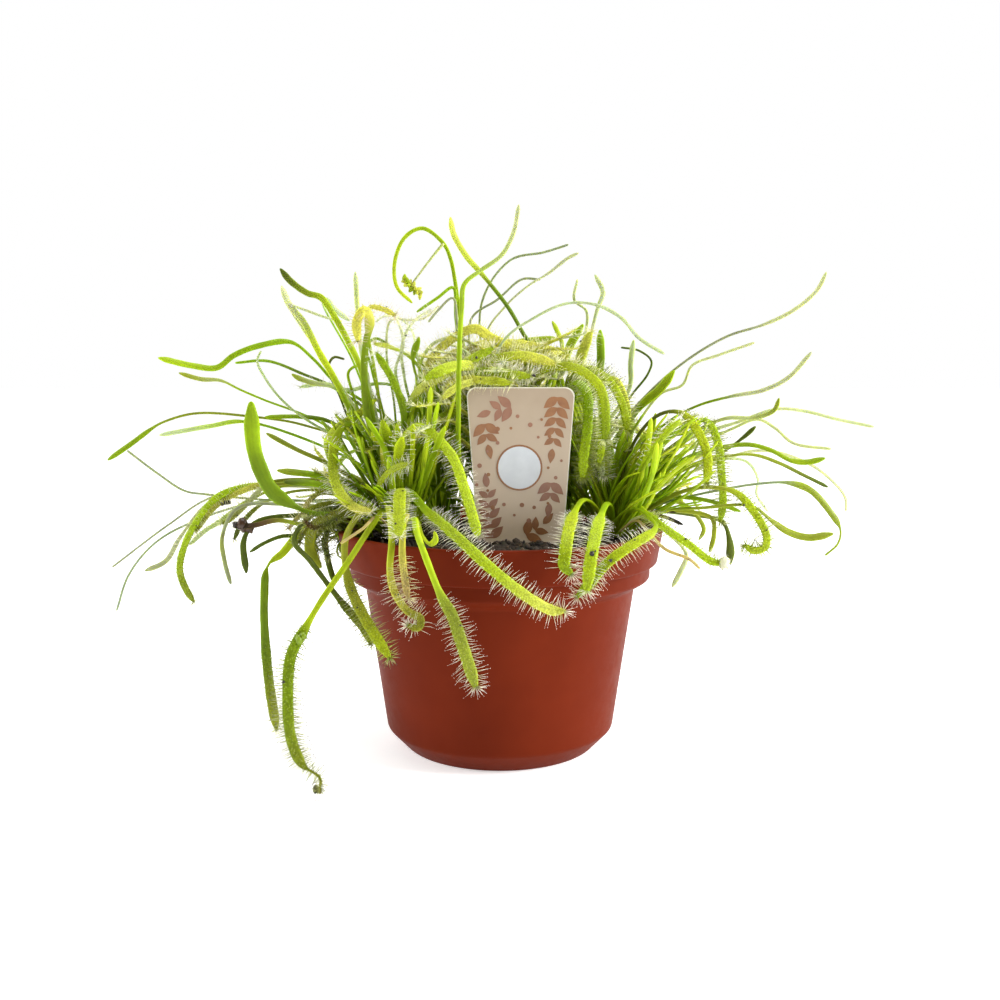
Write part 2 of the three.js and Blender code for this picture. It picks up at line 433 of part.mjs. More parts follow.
// The flower stalk's looped route, the short branch that carries the buds and starts at a point of the loop's
// own, and the buds along a slant.
const SCAPE = {
  width: 1.1,
  loop: [[-8, 90, 12], [-10.5, 115, 11], [-12.2, 128, 10], [-13.4, 134, 10], [-15.3, 138, 9.5],
    [-20.8, 142, 8], [-25.5, 139.8, 7], [-28.4, 133.5, 6], [-28, 126.5, 5], [-23.8, 122.1, 4]],
  branchWidth: 0.7,
  branch: [[-15.3, 138, 9.5], [-19, 133.6, 8.5], [-23.6, 127.6, 7.5]],
  buds: 6,
  budRadius: 1.05,
  stagger: 0.5,
  budsFrom: [-26, 128.3, 7.5],
  budsTo: [-21.6, 125.2, 7.5],
};

// ---------- crowns ----------

// Each crown stands at a place in the soil. Its young leaves come in tufts that fan out by the golden angle,
// between two bearings (degrees, 0 is +X and 90 is straight back), with elevations in degrees and lengths in
// millimetres.
const CROWNS = [
  { name: "rosette_left_front", at: [-28, -6], leaves: LEFT_FRONT, seed: 11,
    tufts: [
      { kind: "hairy", count: 6, bearing: [60, 300], rise: [72, 86], end: [30, 75], length: [34, 52] },
      { kind: "bare", count: 12, bearing: [40, 250], rise: [50, 88], end: [40, 80], length: [24, 44] },
    ] },
  { name: "rosette_right_front", at: [31, -5], leaves: RIGHT_FRONT, seed: 23,
    tufts: [
      { kind: "hairy", count: 8, bearing: [-60, 130], rise: [62, 86], end: [5, 70], length: [34, 54] },
      { kind: "bare", count: 18, bearing: [-40, 130], rise: [22, 88], end: [10, 80], length: [28, 50] },
    ] },
  { name: "rosette_left_back", at: [-17, 20], leaves: LEFT_BACK, seed: 37,
    tufts: [
      { kind: "hairy", count: 8, bearing: [85, 190], rise: [55, 82], end: [-75, 30], length: [55, 92] },
      { kind: "bare", count: 10, bearing: [0, 360], rise: [62, 88], end: [45, 88], length: [30, 50] },
    ] },
  { name: "rosette_right_back", at: [18, 21], leaves: RIGHT_BACK, seed: 41,
    tufts: [
      { kind: "hairy", count: 8, bearing: [-10, 95], rise: [55, 82], end: [-75, 30], length: [55, 92] },
      { kind: "bare", count: 8, bearing: [-50, 90], rise: [55, 86], end: [45, 85], length: [30, 48] },
    ] },
  { name: "rosette_middle", at: [1, 6], leaves: MIDDLE, seed: 59,
    tufts: [
      { kind: "hairy", count: 5, bearing: [50, 130], rise: [70, 86], end: [-20, 60], length: [45, 80] },
    ] },
];
const YOUNG = {
  hairy: { petiole: [1.5, 2], blade: [2.3, 3.1] },
  bare: { petiole: [1.2, 1.7], blade: [1.5, 2.2] },
  bladeFrom: 0.5,
  bend: 1.6,
  tries: 30,
};
const GOLDEN_ANGLE = 137.508;

// Where a young leaf may show, on the plane that routes are read on, and how far back it may reach.
const BOUNDS = {
  across: 60,
  up: 106,
  wideUp: 92,
  narrow: 24,
  belowRim: 58,
  behindPot: 33,
  back: 84,
  lowest: 3,
};
const CLEARANCE = { leaf: 0.9, label: 2.2, rim: 1.4, insideRim: 6, nearCrown: 9, tentacle: 0.8 };

// A repeatable stream of numbers from 0 to 1.
function randomStream(seed) {
  let state = seed;
  return () => {
    state = (state * 16807) % 2147483647;
    return state / 2147483647;
  };
}

const between = ([low, high], share) => low + (high - low) * share;
const clamp = (value, low, high) => Math.min(high, Math.max(low, value));

// Turns a leaf into evenly spaced points with widths and frames: along, across and out of its face.
function trace(leaf, crown) {
  const [x, y] = crown.at;
  const first = leaf.points[0];
  const reach = Math.hypot(first.x - x, first.y - y) || 1;
  const start = new THREE.Vector3(
    x + ((first.x - x) / reach) * LEAF_START.fromAxis,
    y + ((first.y - y) / reach) * LEAF_START.fromAxis,
    LEAF_START.height,
  );
  const knots = leaf.root ? [leaf.root, ...leaf.points] : [start, ...leaf.points];
  const curve = new THREE.CatmullRomCurve3(knots, false, "centripetal");
  const fine = 24;
  const spans = (knots.length - 1) * fine;
  const dense = Array.from({ length: spans + 1 }, (_, i) => curve.getPoint(i / spans));
  const lengths = [0];
  for (let i = 1; i < dense.length; i++) lengths.push(lengths[i - 1] + dense[i].distanceTo(dense[i - 1]));
  const total = lengths[lengths.length - 1];
  const count = Math.round(total / LEAF.grain);
  const points = [];
  let at = 0;
  for (let i = 0; i <= count; i++) {
    const want = (total * i) / count;
    while (at < spans - 1 && lengths[at + 1] < want) at++;
    const share = (want - lengths[at]) / (lengths[at + 1] - lengths[at] || 1);
    points.push(dense[at].clone().lerp(dense[at + 1], clamp(share, 0, 1)));
  }
  const bladeStart = (lengths[leaf.from * fine] / total) * count;
  const neckAt = leaf.neck ? lengths[leaf.neck * fine] : -total;
  return { points, count, bladeStart, neckAt };
}

function widthsOf(leaf, traced) {
  const { count, bladeStart, neckAt } = traced;
  return traced.points.map((_, i) => {
    const along = i * LEAF.grain;
    const left = Math.max(0, (count - i) * LEAF.grain - (leaf.tail || 0));
    const spread = clamp((i * LEAF.grain - (bladeStart * LEAF.grain - 3)) / 7, 0, 1);
    const smooth = spread * spread * (3 - 2 * spread);
    const body = leaf.petiole + (leaf.blade - leaf.petiole) * smooth;
    const base = leaf.petiole * 0.35 * Math.max(0, 1 - along / 8);
    const tip = clamp(Math.sqrt(left / (LEAF.tip * leaf.blade)), leaf.tail ? 0 : LEAF.blunt, 1);
    const pinch = 1 - LEAF.neckShare * Math.exp(-(((along - neckAt) / LEAF.neckReach) ** 2));
    return Math.max(LEAF.thinnest, (body + base) * tip * pinch);
  });
}

// Frames carried along the leaf without twist, from the place where its face is known.
function framesOf(leaf, traced) {
  const { points, count, bladeStart } = traced;
  const along = points.map((_, i) =>
    points[Math.min(count, i + 1)].clone().sub(points[Math.max(0, i - 1)]).normalize(),
  );
  const known = leaf.faceAtBase ? 0 : Math.round((bladeStart + count) / 2);
  const faces = new Array(count + 1);
  const flatten = (face, i) => face.clone().addScaledVector(along[i], -face.dot(along[i])).normalize();
  faces[known] = flatten(leaf.face, known);
  for (let i = known + 1; i <= count; i++) faces[i] = flatten(faces[i - 1], i);
  for (let i = known - 1; i >= 0; i--) faces[i] = flatten(faces[i + 1], i);
  const across = along.map((direction, i) => faces[i].clone().cross(direction));
  return { along, faces, across };
}

// Ring places along a leaf; on a blade with tentacles each long stretch is followed by one short one.
function ringsOf(leaf, traced, along) {
  const rings = [{ at: 0, tentacle: false }];
  let last = 0;
  for (let i = 1; i <= traced.count; i++) {
    const onBlade = leaf.hairs && i > traced.bladeStart;
    const longest = (onBlade ? LEAF.bladeRing : LEAF.longestRing) / LEAF.grain;
    const turned = along[last].angleTo(along[i]) > LEAF.turn;
    if (i < traced.count && i - last < longest && !turned) continue;
    const tentacle = onBlade && i < traced.count - 1;
    rings.push({ at: i, tentacle });
    last = i;
    if (tentacle) {
      rings.push({ at: i + 1, tentacle: false });
      last = i + 1;
      i += 1;
    }
  }
  return rings;
}

// A leaf as one closed mesh: rings of corners, capped, with a tentacle out of each short side wall.
function leafSolid(leaf, isClear) {
  const { traced, widths, frames } = leaf;
  const section = leaf.hairs || leaf.blade > LEAF.slender ? FLAT_SECTION : KEEL_SECTION;
  const sides = section.length;
  const rings = ringsOf(leaf, traced, frames.along);
  const corners = [];
  const triangles = [];
  for (const { at } of rings) {
    const half = widths[at] / 2;
    const thick = clamp(widths[at] * 0.5, LEAF.thinnest, LEAF.thickest) / 2;
    for (const [side, face] of section) {
      const corner = traced.points[at].clone();
      corner.addScaledVector(frames.across[at], side * half);
      corner.addScaledVector(frames.faces[at], face * thick);
      corners.push(corner);
    }
  }
  const tentacleTip = (at, side) => {
    const point = traced.points[at].clone().lerp(traced.points[at + 1], 0.5);
    point.addScaledVector(frames.across[at], side * (widths[at] / 2 + LEAF.tentacle * 0.93));
    point.addScaledVector(frames.faces[at], LEAF.tentacle * 0.35);
    return point;
  };
  rings.slice(0, -1).forEach(({ at, tentacle }, r) => {
    for (let k = 0; k < sides; k++) {
      const [a, b] = [r * sides + k, r * sides + ((k + 1) % sides)];
      const [next, nextB] = [a + sides, b + sides];
      const tip = tentacle && k % 2 === 1 ? tentacleTip(at, k === 1 ? -1 : 1) : null;
      if (tip && isClear(tip)) {
        const t = corners.length;
        corners.push(tip);
        triangles.push([a, b, t], [b, nextB, t], [nextB, next, t], [next, a, t]);
      } else if (k === 2) triangles.push([a, b, next], [b, nextB, next]);
      else triangles.push([a, b, nextB], [a, nextB, next]);
    }
  });
  const end = (rings.length - 1) * sides;
  for (let k = 1; k < sides - 1; k++) triangles.push([0, k + 1, k], [end, end + k, end + k + 1]);
  return new wasm.Manifold(
    new wasm.Mesh({
      numProp: 3,
      vertProperties: new Float32Array(corners.flatMap((corner) => corner.toArray())),
      triVerts: new Uint32Array(triangles.flat()),
    }),
  );
}

function prepare(leaf, crown) {
  leaf.crown = crown.name;
  leaf.traced = trace(leaf, crown);
  leaf.widths = widthsOf(leaf, leaf.traced);
  leaf.frames = framesOf(leaf, leaf.traced);
  return leaf;
}

const FRONT_FACE = new THREE.Vector3(0, -0.85, 0.5);

function drawnLeaf(leaf, crown) {
  return prepare({ ...leaf, points: leaf.route.map(place), face: FRONT_FACE }, crown);
}

// A young leaf leaves its crown on a bearing, rises, and bends over towards its end elevation.
function youngLeaf(crown, tuft, k, random) {
  const turn = ((k * GOLDEN_ANGLE) / 360) % 1;
  const bearing = THREE.MathUtils.degToRad(between(tuft.bearing, (turn + 0.15 * random()) % 1));
  const rise = THREE.MathUtils.degToRad(between(tuft.rise, random()));
  const end = THREE.MathUtils.degToRad(between(tuft.end, random()));
  const length = between(tuft.length, random());
  const sway = 0.5 * (random() - 0.5);
  const petiole = between(YOUNG[tuft.kind].petiole, random());
  const blade = between(YOUNG[tuft.kind].blade, random());
  const steps = 8;
  const point = new THREE.Vector3(crown.at[0], crown.at[1], LEAF_START.height);
  const points = [];
  for (let i = 1; i <= steps; i++) {
    const share = i / steps;
    const tilt = rise + (end - rise) * share ** YOUNG.bend;
    const heading = bearing + sway * share * share;
    const step = length / steps;
    point.x += step * Math.cos(tilt) * Math.cos(heading);
    point.y += step * Math.cos(tilt) * Math.sin(heading);
    point.z += step * Math.sin(tilt);
    if (i % 2 === 0) points.push(point.clone());
  }
  const face = new THREE.Vector3(-Math.cos(bearing), -Math.sin(bearing), 0.2);
  const from = Math.round(YOUNG.bladeFrom * points.length);
  const hairs = tuft.kind === "hairy";
  return prepare({ petiole, blade, from, hairs, points, face, faceAtBase: true }, crown);
}

function insideBounds(point) {
  const [across, up] = seen(point);
  const side = Math.abs(across);
  if (point.z < BOUNDS.lowest || point.y > BOUNDS.back) return false;
  if (side > BOUNDS.across || up > BOUNDS.up) return false;
  if (up > BOUNDS.wideUp && side > BOUNDS.narrow) return false;
  return up > BOUNDS.belowRim || side < BOUNDS.behindPot;
}

function clearOfPot(point, half) {
  const radius = Math.hypot(point.x, point.y);
  if (point.z > POT.height + CLEARANCE.rim + half) return true;
  if (radius > POT.rimRadius + CLEARANCE.rim + half) return true;
  return radius < INNER.rim - CLEARANCE.insideRim && point.z > LEAF_START.height;
}

function clearOfLabel(point, half) {
  const margin = CLEARANCE.label + half;
  const aside = Math.abs(point.x - LABEL.centre[0]) > LABEL.topWidth / 2 + margin;
  return aside || Math.abs(point.y - LABEL.centre[1]) > margin || point.z > LABEL.top + margin;
}

function clearOfLeaves(point, margin, crownName, leaves) {
  for (const other of leaves) {
    if (other.crown === crownName) continue;
    for (let i = 0; i <= other.traced.count; i += 2) {
      if (other.traced.points[i].distanceTo(point) < other.widths[i] / 2 + margin) return false;
    }
  }
  return true;
}

function fits(leaf, leaves) {
  const { points, count } = leaf.traced;
  for (let i = Math.round(CLEARANCE.nearCrown / LEAF.grain); i <= count; i += 3) {
    const half = leaf.widths[i] / 2;
    if (!insideBounds(points[i]) || !clearOfPot(points[i], half)) return false;
    if (!clearOfLabel(points[i], half)) return false;
    if (!clearOfLeaves(points[i], half + CLEARANCE.leaf, leaf.crown, leaves)) return false;
  }
  return true;
}

function growLeaves() {
  const leaves = CROWNS.flatMap((crown) => crown.leaves.map((leaf) => drawnLeaf(leaf, crown)));
  for (const crown of CROWNS) {
    const random = randomStream(crown.seed);
    for (const tuft of crown.tufts) {
      let grown = 0;
      for (let k = 0; grown < tuft.count && k < tuft.count * YOUNG.tries; k++) {
        const leaf = youngLeaf(crown, tuft, k, random);
        if (!fits(leaf, leaves)) continue;
        leaves.push(leaf);
        grown += 1;
      }
    }
  }
  return leaves;
}

// ---------- flower stalk ----------

function flowerStalk(crown) {
  const loop = drawnLeaf(stalk(SCAPE.width, ...SCAPE.loop), crown);
  const branchPoints = SCAPE.branch.map(place);
  const branch = prepare(
    { ...stalk(SCAPE.branchWidth), root: branchPoints[0], points: branchPoints.slice(1), face: FRONT_FACE },
    crown,
  );
  const [from, to] = [place(SCAPE.budsFrom), place(SCAPE.budsTo)];
  const buds = Array.from({ length: SCAPE.buds }, (_, i) => {
    const bud = new THREE.SphereGeometry(SCAPE.budRadius, 6, 4).scale(1, 1, 1.25);
    const centre = from.clone().lerp(to, i / (SCAPE.buds - 1));
    const stagger = i % 2 ? SCAPE.stagger : -SCAPE.stagger;
    return solidOf(bud.translate(centre.x, centre.y + stagger, centre.z));
  });
  return { stalks: [loop, branch], buds };
}

// ---------- assembly ----------

function stemSolid(crown, margin) {
  const { topRadius, bottomRadius, bottom, top, sides } = STEM;
  const stem = upright(topRadius + margin, bottomRadius + margin, bottom - margin, top + margin, sides);
  return solidOf(stem.translate(crown.at[0], crown.at[1], 0));
}

const leaves = growLeaves();
const plant = new THREE.Group();
for (const crown of CROWNS) {
  const isClear = (point) =>
    clearOfLeaves(point, LEAF.tentacle + CLEARANCE.tentacle, crown.name, leaves) &&
    clearOfPot(point, 0) &&
    clearOfLabel(point, 0);
  const own = leaves.filter((leaf) => leaf.crown === crown.name);
  const solids = [stemSolid(crown, 0)];
  if (crown.name === "rosette_middle") {
    const { stalks, buds } = flowerStalk(crown);
    own.push(...stalks);
    solids.push(...buds);
  }
  for (const leaf of own) solids.push(leafSolid(leaf, isClear));
  const rosette = wasm.Manifold.union(solids);
  const colour = crown.name.endsWith("back") ? COLOURS.back : COLOURS.leaf;
  plant.add(meshOf(crown.name, geometryOf(rosette), colour, 0.45));
}

const holes = CROWNS.map((crown) => stemSolid(crown, FIT_GAP));
holes.push(solidOf(labelPlate(FIT_GAP, LABEL.thickness + 2 * FIT_GAP)));

const part = new THREE.Group();
part.add(meshOf("pot", pot(), COLOURS.pot, 0.4));
part.add(meshOf("soil", soil(holes), COLOURS.soil, 0.95));
part.add(meshOf("plant_label", geometryOf(solidOf(labelPlate(0, LABEL.thickness))), COLOURS.label, 0.35));
part.add(plant);

export default part;
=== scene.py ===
"""A potted cape sundew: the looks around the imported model.

Lengths below are millimetres, as in the part's source, unless a name says otherwise; add_mesh turns them into
metres. The pot's axis is Z, the pot stands on z = 0 and the front is at -Y.
"""

import math

import bpy
import numpy as np
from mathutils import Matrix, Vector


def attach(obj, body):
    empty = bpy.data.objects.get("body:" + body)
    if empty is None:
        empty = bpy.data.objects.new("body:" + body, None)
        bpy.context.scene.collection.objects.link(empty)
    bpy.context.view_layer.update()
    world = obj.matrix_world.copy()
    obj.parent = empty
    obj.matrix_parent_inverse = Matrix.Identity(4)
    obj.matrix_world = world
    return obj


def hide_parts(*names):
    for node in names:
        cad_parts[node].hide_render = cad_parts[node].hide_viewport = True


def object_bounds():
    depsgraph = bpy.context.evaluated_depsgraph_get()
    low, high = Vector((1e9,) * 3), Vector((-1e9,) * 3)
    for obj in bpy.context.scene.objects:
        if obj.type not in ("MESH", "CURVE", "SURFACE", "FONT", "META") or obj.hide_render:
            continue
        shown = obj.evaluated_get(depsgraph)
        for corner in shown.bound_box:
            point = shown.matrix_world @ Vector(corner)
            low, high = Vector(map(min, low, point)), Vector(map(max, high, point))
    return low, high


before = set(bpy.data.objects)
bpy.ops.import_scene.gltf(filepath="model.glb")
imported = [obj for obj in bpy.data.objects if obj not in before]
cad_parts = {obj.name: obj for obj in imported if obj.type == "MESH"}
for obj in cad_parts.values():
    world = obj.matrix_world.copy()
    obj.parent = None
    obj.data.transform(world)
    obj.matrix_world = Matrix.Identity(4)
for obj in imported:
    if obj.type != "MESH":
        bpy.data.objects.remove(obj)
CAD_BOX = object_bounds()
MM = 0.001

# ---------- camera ----------

EYE = {"front": 300, "height": 104}
CAMERA = {"pitch_deg": 6.8, "lens": 39.17, "sensor": 36}


def add_camera():
    data = bpy.data.cameras.new("camera")
    data.lens = CAMERA["lens"]
    data.sensor_width = CAMERA["sensor"]
    data.clip_start = 0.01
    camera = bpy.data.objects.new("camera", data)
    camera.location = (0, -EYE["front"] * MM, EYE["height"] * MM)
    camera.rotation_euler = (math.radians(90 - CAMERA["pitch_deg"]), 0, 0)
    bpy.context.scene.collection.objects.link(camera)
    bpy.context.scene.camera = camera


add_camera()

# ---------- sizes shared with the part ----------

POT = {
    "rim_radius": 45,
    "height": 61.3,
    "band_radius": 43.4,
    "band_bottom": 51.9,
    "neck_radius": 41.5,
    "neck_bottom": 47.8,
    "body_top_radius": 37.4,
    "body_top": 45.4,
    "body_bottom_radius": 31.7,
    "body_bottom": 6,
    "foot_radius": 26,
    "wall": 1.3,
    "rim_thickness": 2,
}
DRAIN = {"count": 4, "radius": 3.4, "from_axis": 16}
SOIL = {"edge_height": 56.6, "mound": 1.4, "lump": 0.55}
LABEL = {
    "centre": (5.4, -14),
    "top": 99.6,
    "top_width": 28.2,
    "corner_radius": 2.4,
    "shoulder": 56,
    "shoulder_width": 22.4,
    "stake_top": 46,
    "stake_width": 9,
    "tip": 18,
    "tip_width": 2,
    "thickness": 0.7,
}
LEAF_START = {"height": 59.2, "from_axis": 1.8}
GRAIN = 0.7  # spacing of the points along a leaf
THINNEST = 0.64
NECK = {"share": 0.75, "reach": 2.2}
TIP = {"length": 1.3, "blunt": 0.45, "round": 0.6}  # in blade widths, and in shares of the width
INNER_RIM = POT["rim_radius"] - POT["rim_thickness"]

# ---------- leaf routes ----------


# A leaf: the tones of its petiole, blade and tip, its widths, the route point where the blade begins, and the
# route. A route point is [across, up, depth]: across and up on the upright plane through the pot's axis, as it
# looks from EYE, and how far behind that plane the point really lies.
def leaf_spec(tones, petiole, blade, start, route, hairs):
    words = tones.split()
    tones = words * 3 if len(words) == 1 else words
    return {"tones": tones, "petiole": petiole, "blade": blade, "from": start, "route": route, "hairs": hairs}


def hairy(tones, petiole, blade, start, *route):
    return leaf_spec(tones, petiole, blade, start, route, "pale")


def rusty(tones, petiole, blade, start, *route):
    return leaf_spec(tones, petiole, blade, start, route, "rust")


def dusky(tones, petiole, blade, start, *route):
    return leaf_spec(tones, petiole, blade, start, route, "dusk")


def rosy(tones, petiole, blade, start, *route):
    return leaf_spec(tones, petiole, blade, start, route, "rose")


def bare(tones, petiole, blade, start, *route):
    return leaf_spec(tones, petiole, blade, start, route, None)


def stalk(tones, width, *route):
    return leaf_spec(tones, width, width, 1, route, None)


# The same with a withered thread of a length at its tip, or with a pinched neck at a route point.
def tailed(tail, leaf):
    return {**leaf, "tail": tail}


def necked(neck, leaf):
    return {**leaf, "neck": neck}


# The same with fewer or more tentacles than usual.
def with_density(density, leaf):
    return {**leaf, "density": density}


# The same with its petiole's tone ending at another route point than where the blade begins.
def toned(tone_from, leaf):
    return {**leaf, "tone_from": tone_from}


LEFT_FRONT = [
    hairy("green lime lime", 1.6, 2.7, 1, [-33, 76, -9], [-30, 81, -11], [-23, 88.5, -15],
        [-14, 81.5, -21], [-9.5, 70, -29], [-6, 57.5, -39]),
    hairy("green lime lime", 1.5, 2.1, 1, [-34, 70.5, -12], [-32.5, 74, -14], [-29.5, 76.8, -17],
        [-25, 78.3, -20]),
    hairy("lime", 2, 3.2, 2, [-26, 69, -18], [-27.5, 71, -25], [-28, 66, -34], [-28, 57.5, -46]),
    hairy("lime yellow olive", 1.6, 1.9, 4, [-31, 66, -18], [-30.3, 61, -33], [-30.2, 56, -41],
        [-30.8, 48, -43], [-29.5, 42, -43.5], [-26, 36.8, -45], [-22.3, 34.5, -46], [-23, 32, -47],
        [-26.5, 32.8, -47]),
    rusty("yellow yellow tan", 1.6, 1.8, 3, [-26, 64, -22], [-27, 60, -38], [-27.3, 53, -44],
        [-26.8, 47, -44], [-25.8, 40, -45]),
    hairy("green lime yellow", 2, 2.7, 2, [-26.5, 70.5, -12], [-20, 64.8, -27], [-12, 57.8, -44],
        [-4, 50.3, -50], [3, 44.3, -51], [10, 39.3, -51], [15, 36.9, -50], [18.5, 36.8, -50]),
    hairy("lime olive olive", 1.6, 2.9, 4, [-24, 63, -30], [-23, 58.5, -43], [-20, 50, -48],
        [-16.5, 41, -49], [-13.6, 35.7, -49], [-10.3, 26, -48], [-6.7, 14.3, -46]),
    bare("lime", 1.3, 1.7, 3, [-23.5, 63, -24], [-21.5, 58, -38], [-19.3, 55.8, -45],
        [-17.9, 57.3, -47], [-18.3, 59.5, -47]),
    hairy("green lime yellow", 2, 2.8, 3, [-37, 80, -4], [-41.5, 89.5, -4], [-45, 86, -6],
        [-46.2, 78, -10], [-45, 71.5, -16], [-41, 66.5, -22], [-35.5, 64.6, -27]),
    with_density(1.5, tailed(7, dusky("lime green olive", 1.5, 2.7, 5, [-31.5, 65, -14], [-36, 60.5, -28],
        [-42, 51.5, -36], [-50, 40, -40], [-54.5, 32.5, -42], [-59, 24, -43], [-60.2, 13, -44],
        [-59.6, 0, -45], [-56.5, -8, -45.5], [-51.5, -12, -45.5], [-51.8, -15.6, -45]))),
    dusky("dark dark olive", 1.4, 2.1, 5, [-42, 66, -8], [-52, 64, -14], [-57.5, 57, -20],
        [-53, 51, -24], [-45, 40, -29], [-38, 31, -33], [-36.3, 27, -34]),
    dusky("olive olive lime", 1.7, 2.7, 3, [-36, 66.5, -16], [-43, 57.5, -27], [-42.8, 47, -32],
        [-41, 41, -34], [-36.5, 32, -37], [-31, 23, -39]),
    bare("dark", 1.3, 1.6, 3, [-40, 67, -2], [-46.5, 64, -4], [-48.6, 57, -6], [-48, 51, -8],
        [-46.3, 44.5, -10]),
    stalk("tan", 0.9, [-34, 63.5, -20], [-38.5, 60, -33], [-44.5, 56, -38]),
    toned(6, bare("deep green green", 1.2, 3.9, 3, [-40, 63.5, -10], [-53, 64.8, -17], [-58, 67, -19],
        [-63, 70.5, -20], [-66, 76, -21], [-68, 83, -22], [-68.4, 95.5, -23])),
    bare("green lime pale", 1.6, 1.8, 2, [-36, 80, -4], [-45, 101, -4], [-49.5, 109, -5],
        [-53.5, 117, -6], [-57.3, 121.8, -7], [-59.3, 126.8, -8]),
    bare("green lime dark", 1.4, 1.7, 2, [-33, 80, -6], [-38, 104, -8], [-41.7, 112.3, -9],
        [-44.5, 117.5, -10], [-48.6, 123.6, -11], [-52.3, 124.8, -11], [-56.8, 128, -11],
        [-59.6, 131.4, -11]),
    rosy("deep yellow yellow", 2, 2.6, 5, [-31, 75, -8], [-36.5, 92, -10], [-37.2, 104, -11],
        [-36.5, 112, -11.5], [-35.2, 117.3, -12], [-36.8, 120.3, -12.5], [-38.9, 117.5, -13],
        [-38.8, 111.5, -13]),
    rosy("green yellow yellow", 1.2, 1.7, 4, [-31.5, 82, -3], [-34.5, 105, -3], [-36.5, 117, -4],
        [-35.5, 120.9, -5], [-31.8, 120.5, -6], [-28.3, 118.7, -7]),
    hairy("deep green green", 1.6, 2, 2, [-27.5, 78, -10], [-26.5, 92, -12], [-29, 100.5, -13],
        [-34, 109, -14]),
    bare("pale yellow pale", 1.3, 1.4, 3, [-33, 85, 0], [-38, 110, 2], [-38.8, 121, 2],
        [-39.2, 130.5, 0]),
    bare("olive", 1.3, 1.4, 3, [-36, 70, -3], [-46, 77.5, -2], [-56, 82.2, -2], [-64.5, 86.8, -2]),
    bare("green green olive", 1.6, 2, 2, [-38, 70, -6], [-48, 74.5, -8], [-61.8, 76.5, -10]),
    bare("green green dark", 1.6, 2, 2, [-40, 68, -8], [-50, 72.5, -11], [-60, 73.3, -13]),
    toned(5, necked(5, rusty("lime deep olive", 2.2, 2.6, 7, [-38, 65, -10], [-48, 63.5, -10], [-57, 57.5, -14],
        [-61, 53, -17], [-64.8, 50, -19], [-66.2, 40, -20], [-66.2, 28, -20], [-65.3, 15, -20],
        [-63.6, 2, -20]))),
    bare("olive brown black", 1.2, 1.6, 3, [-40, 62.8, -9], [-52, 61, -12], [-62, 62.5, -10],
        [-69, 61, -9], [-74.5, 60.8, -8]),
    bare("grey olive grey", 1, 1.3, 4, [-38, 64, -4], [-60, 67, -3], [-73, 66, -4], [-77.4, 58, -5],
        [-77, 51, -5], [-75.4, 44.3, -5]),
    bare("dark", 1.3, 1.9, 4, [-38, 63.5, -6], [-55, 64, -6], [-68, 62, -7], [-71.4, 57, -8],
        [-71, 47.5, -8]),
    dusky("green lime lime", 1.4, 2.4, 3, [-41, 70, -2], [-46.5, 78, 0], [-48, 84, -1], [-44.5, 88.5, -2],
        [-39, 92, -3], [-33.8, 96.3, -4]),
    stalk("dark", 0.7, [-38, 80, 4], [-44, 97, 5], [-47, 104.5, 5], [-45.5, 107.5, 5], [-42.5, 107, 5]),
    stalk("dark green green", 0.8, [-36, 84, 4], [-40.5, 98, 5], [-41.5, 103.5, 5], [-39, 105.2, 5],
        [-36.5, 103.5, 5], [-36, 99, 5]),
    bare("olive", 1.6, 3, 3, [-40, 66, -12], [-47, 64, -14], [-52, 60, -16], [-53, 54, -17],
        [-50, 49, -18]),
    stalk("dark", 1.2, [-44, 64, -8], [-55, 58.5, -9], [-61, 58, -9], [-66, 56, -9], [-70, 53.5, -9]),
    stalk("green pale pale", 0.8, [-36, 86, -1], [-47, 105, -3], [-55.5, 118, -6], [-57.3, 121.5, -7],
        [-53.7, 120.5, -7], [-47.8, 118.4, -7], [-43, 117.2, -7]),
    bare("green pale pale", 0.8, 1.5, 4, [-33, 84, -1], [-40, 106, -3], [-48.3, 122.8, -8],
        [-47, 123.2, -8.5], [-44.8, 120.4, -9], [-40.8, 117.3, -9]),
    stalk("green", 0.8, [-31, 86, 3], [-35, 104, 4], [-36.4, 110.5, 4], [-34, 112.6, 4], [-30.4, 111, 4]),
]

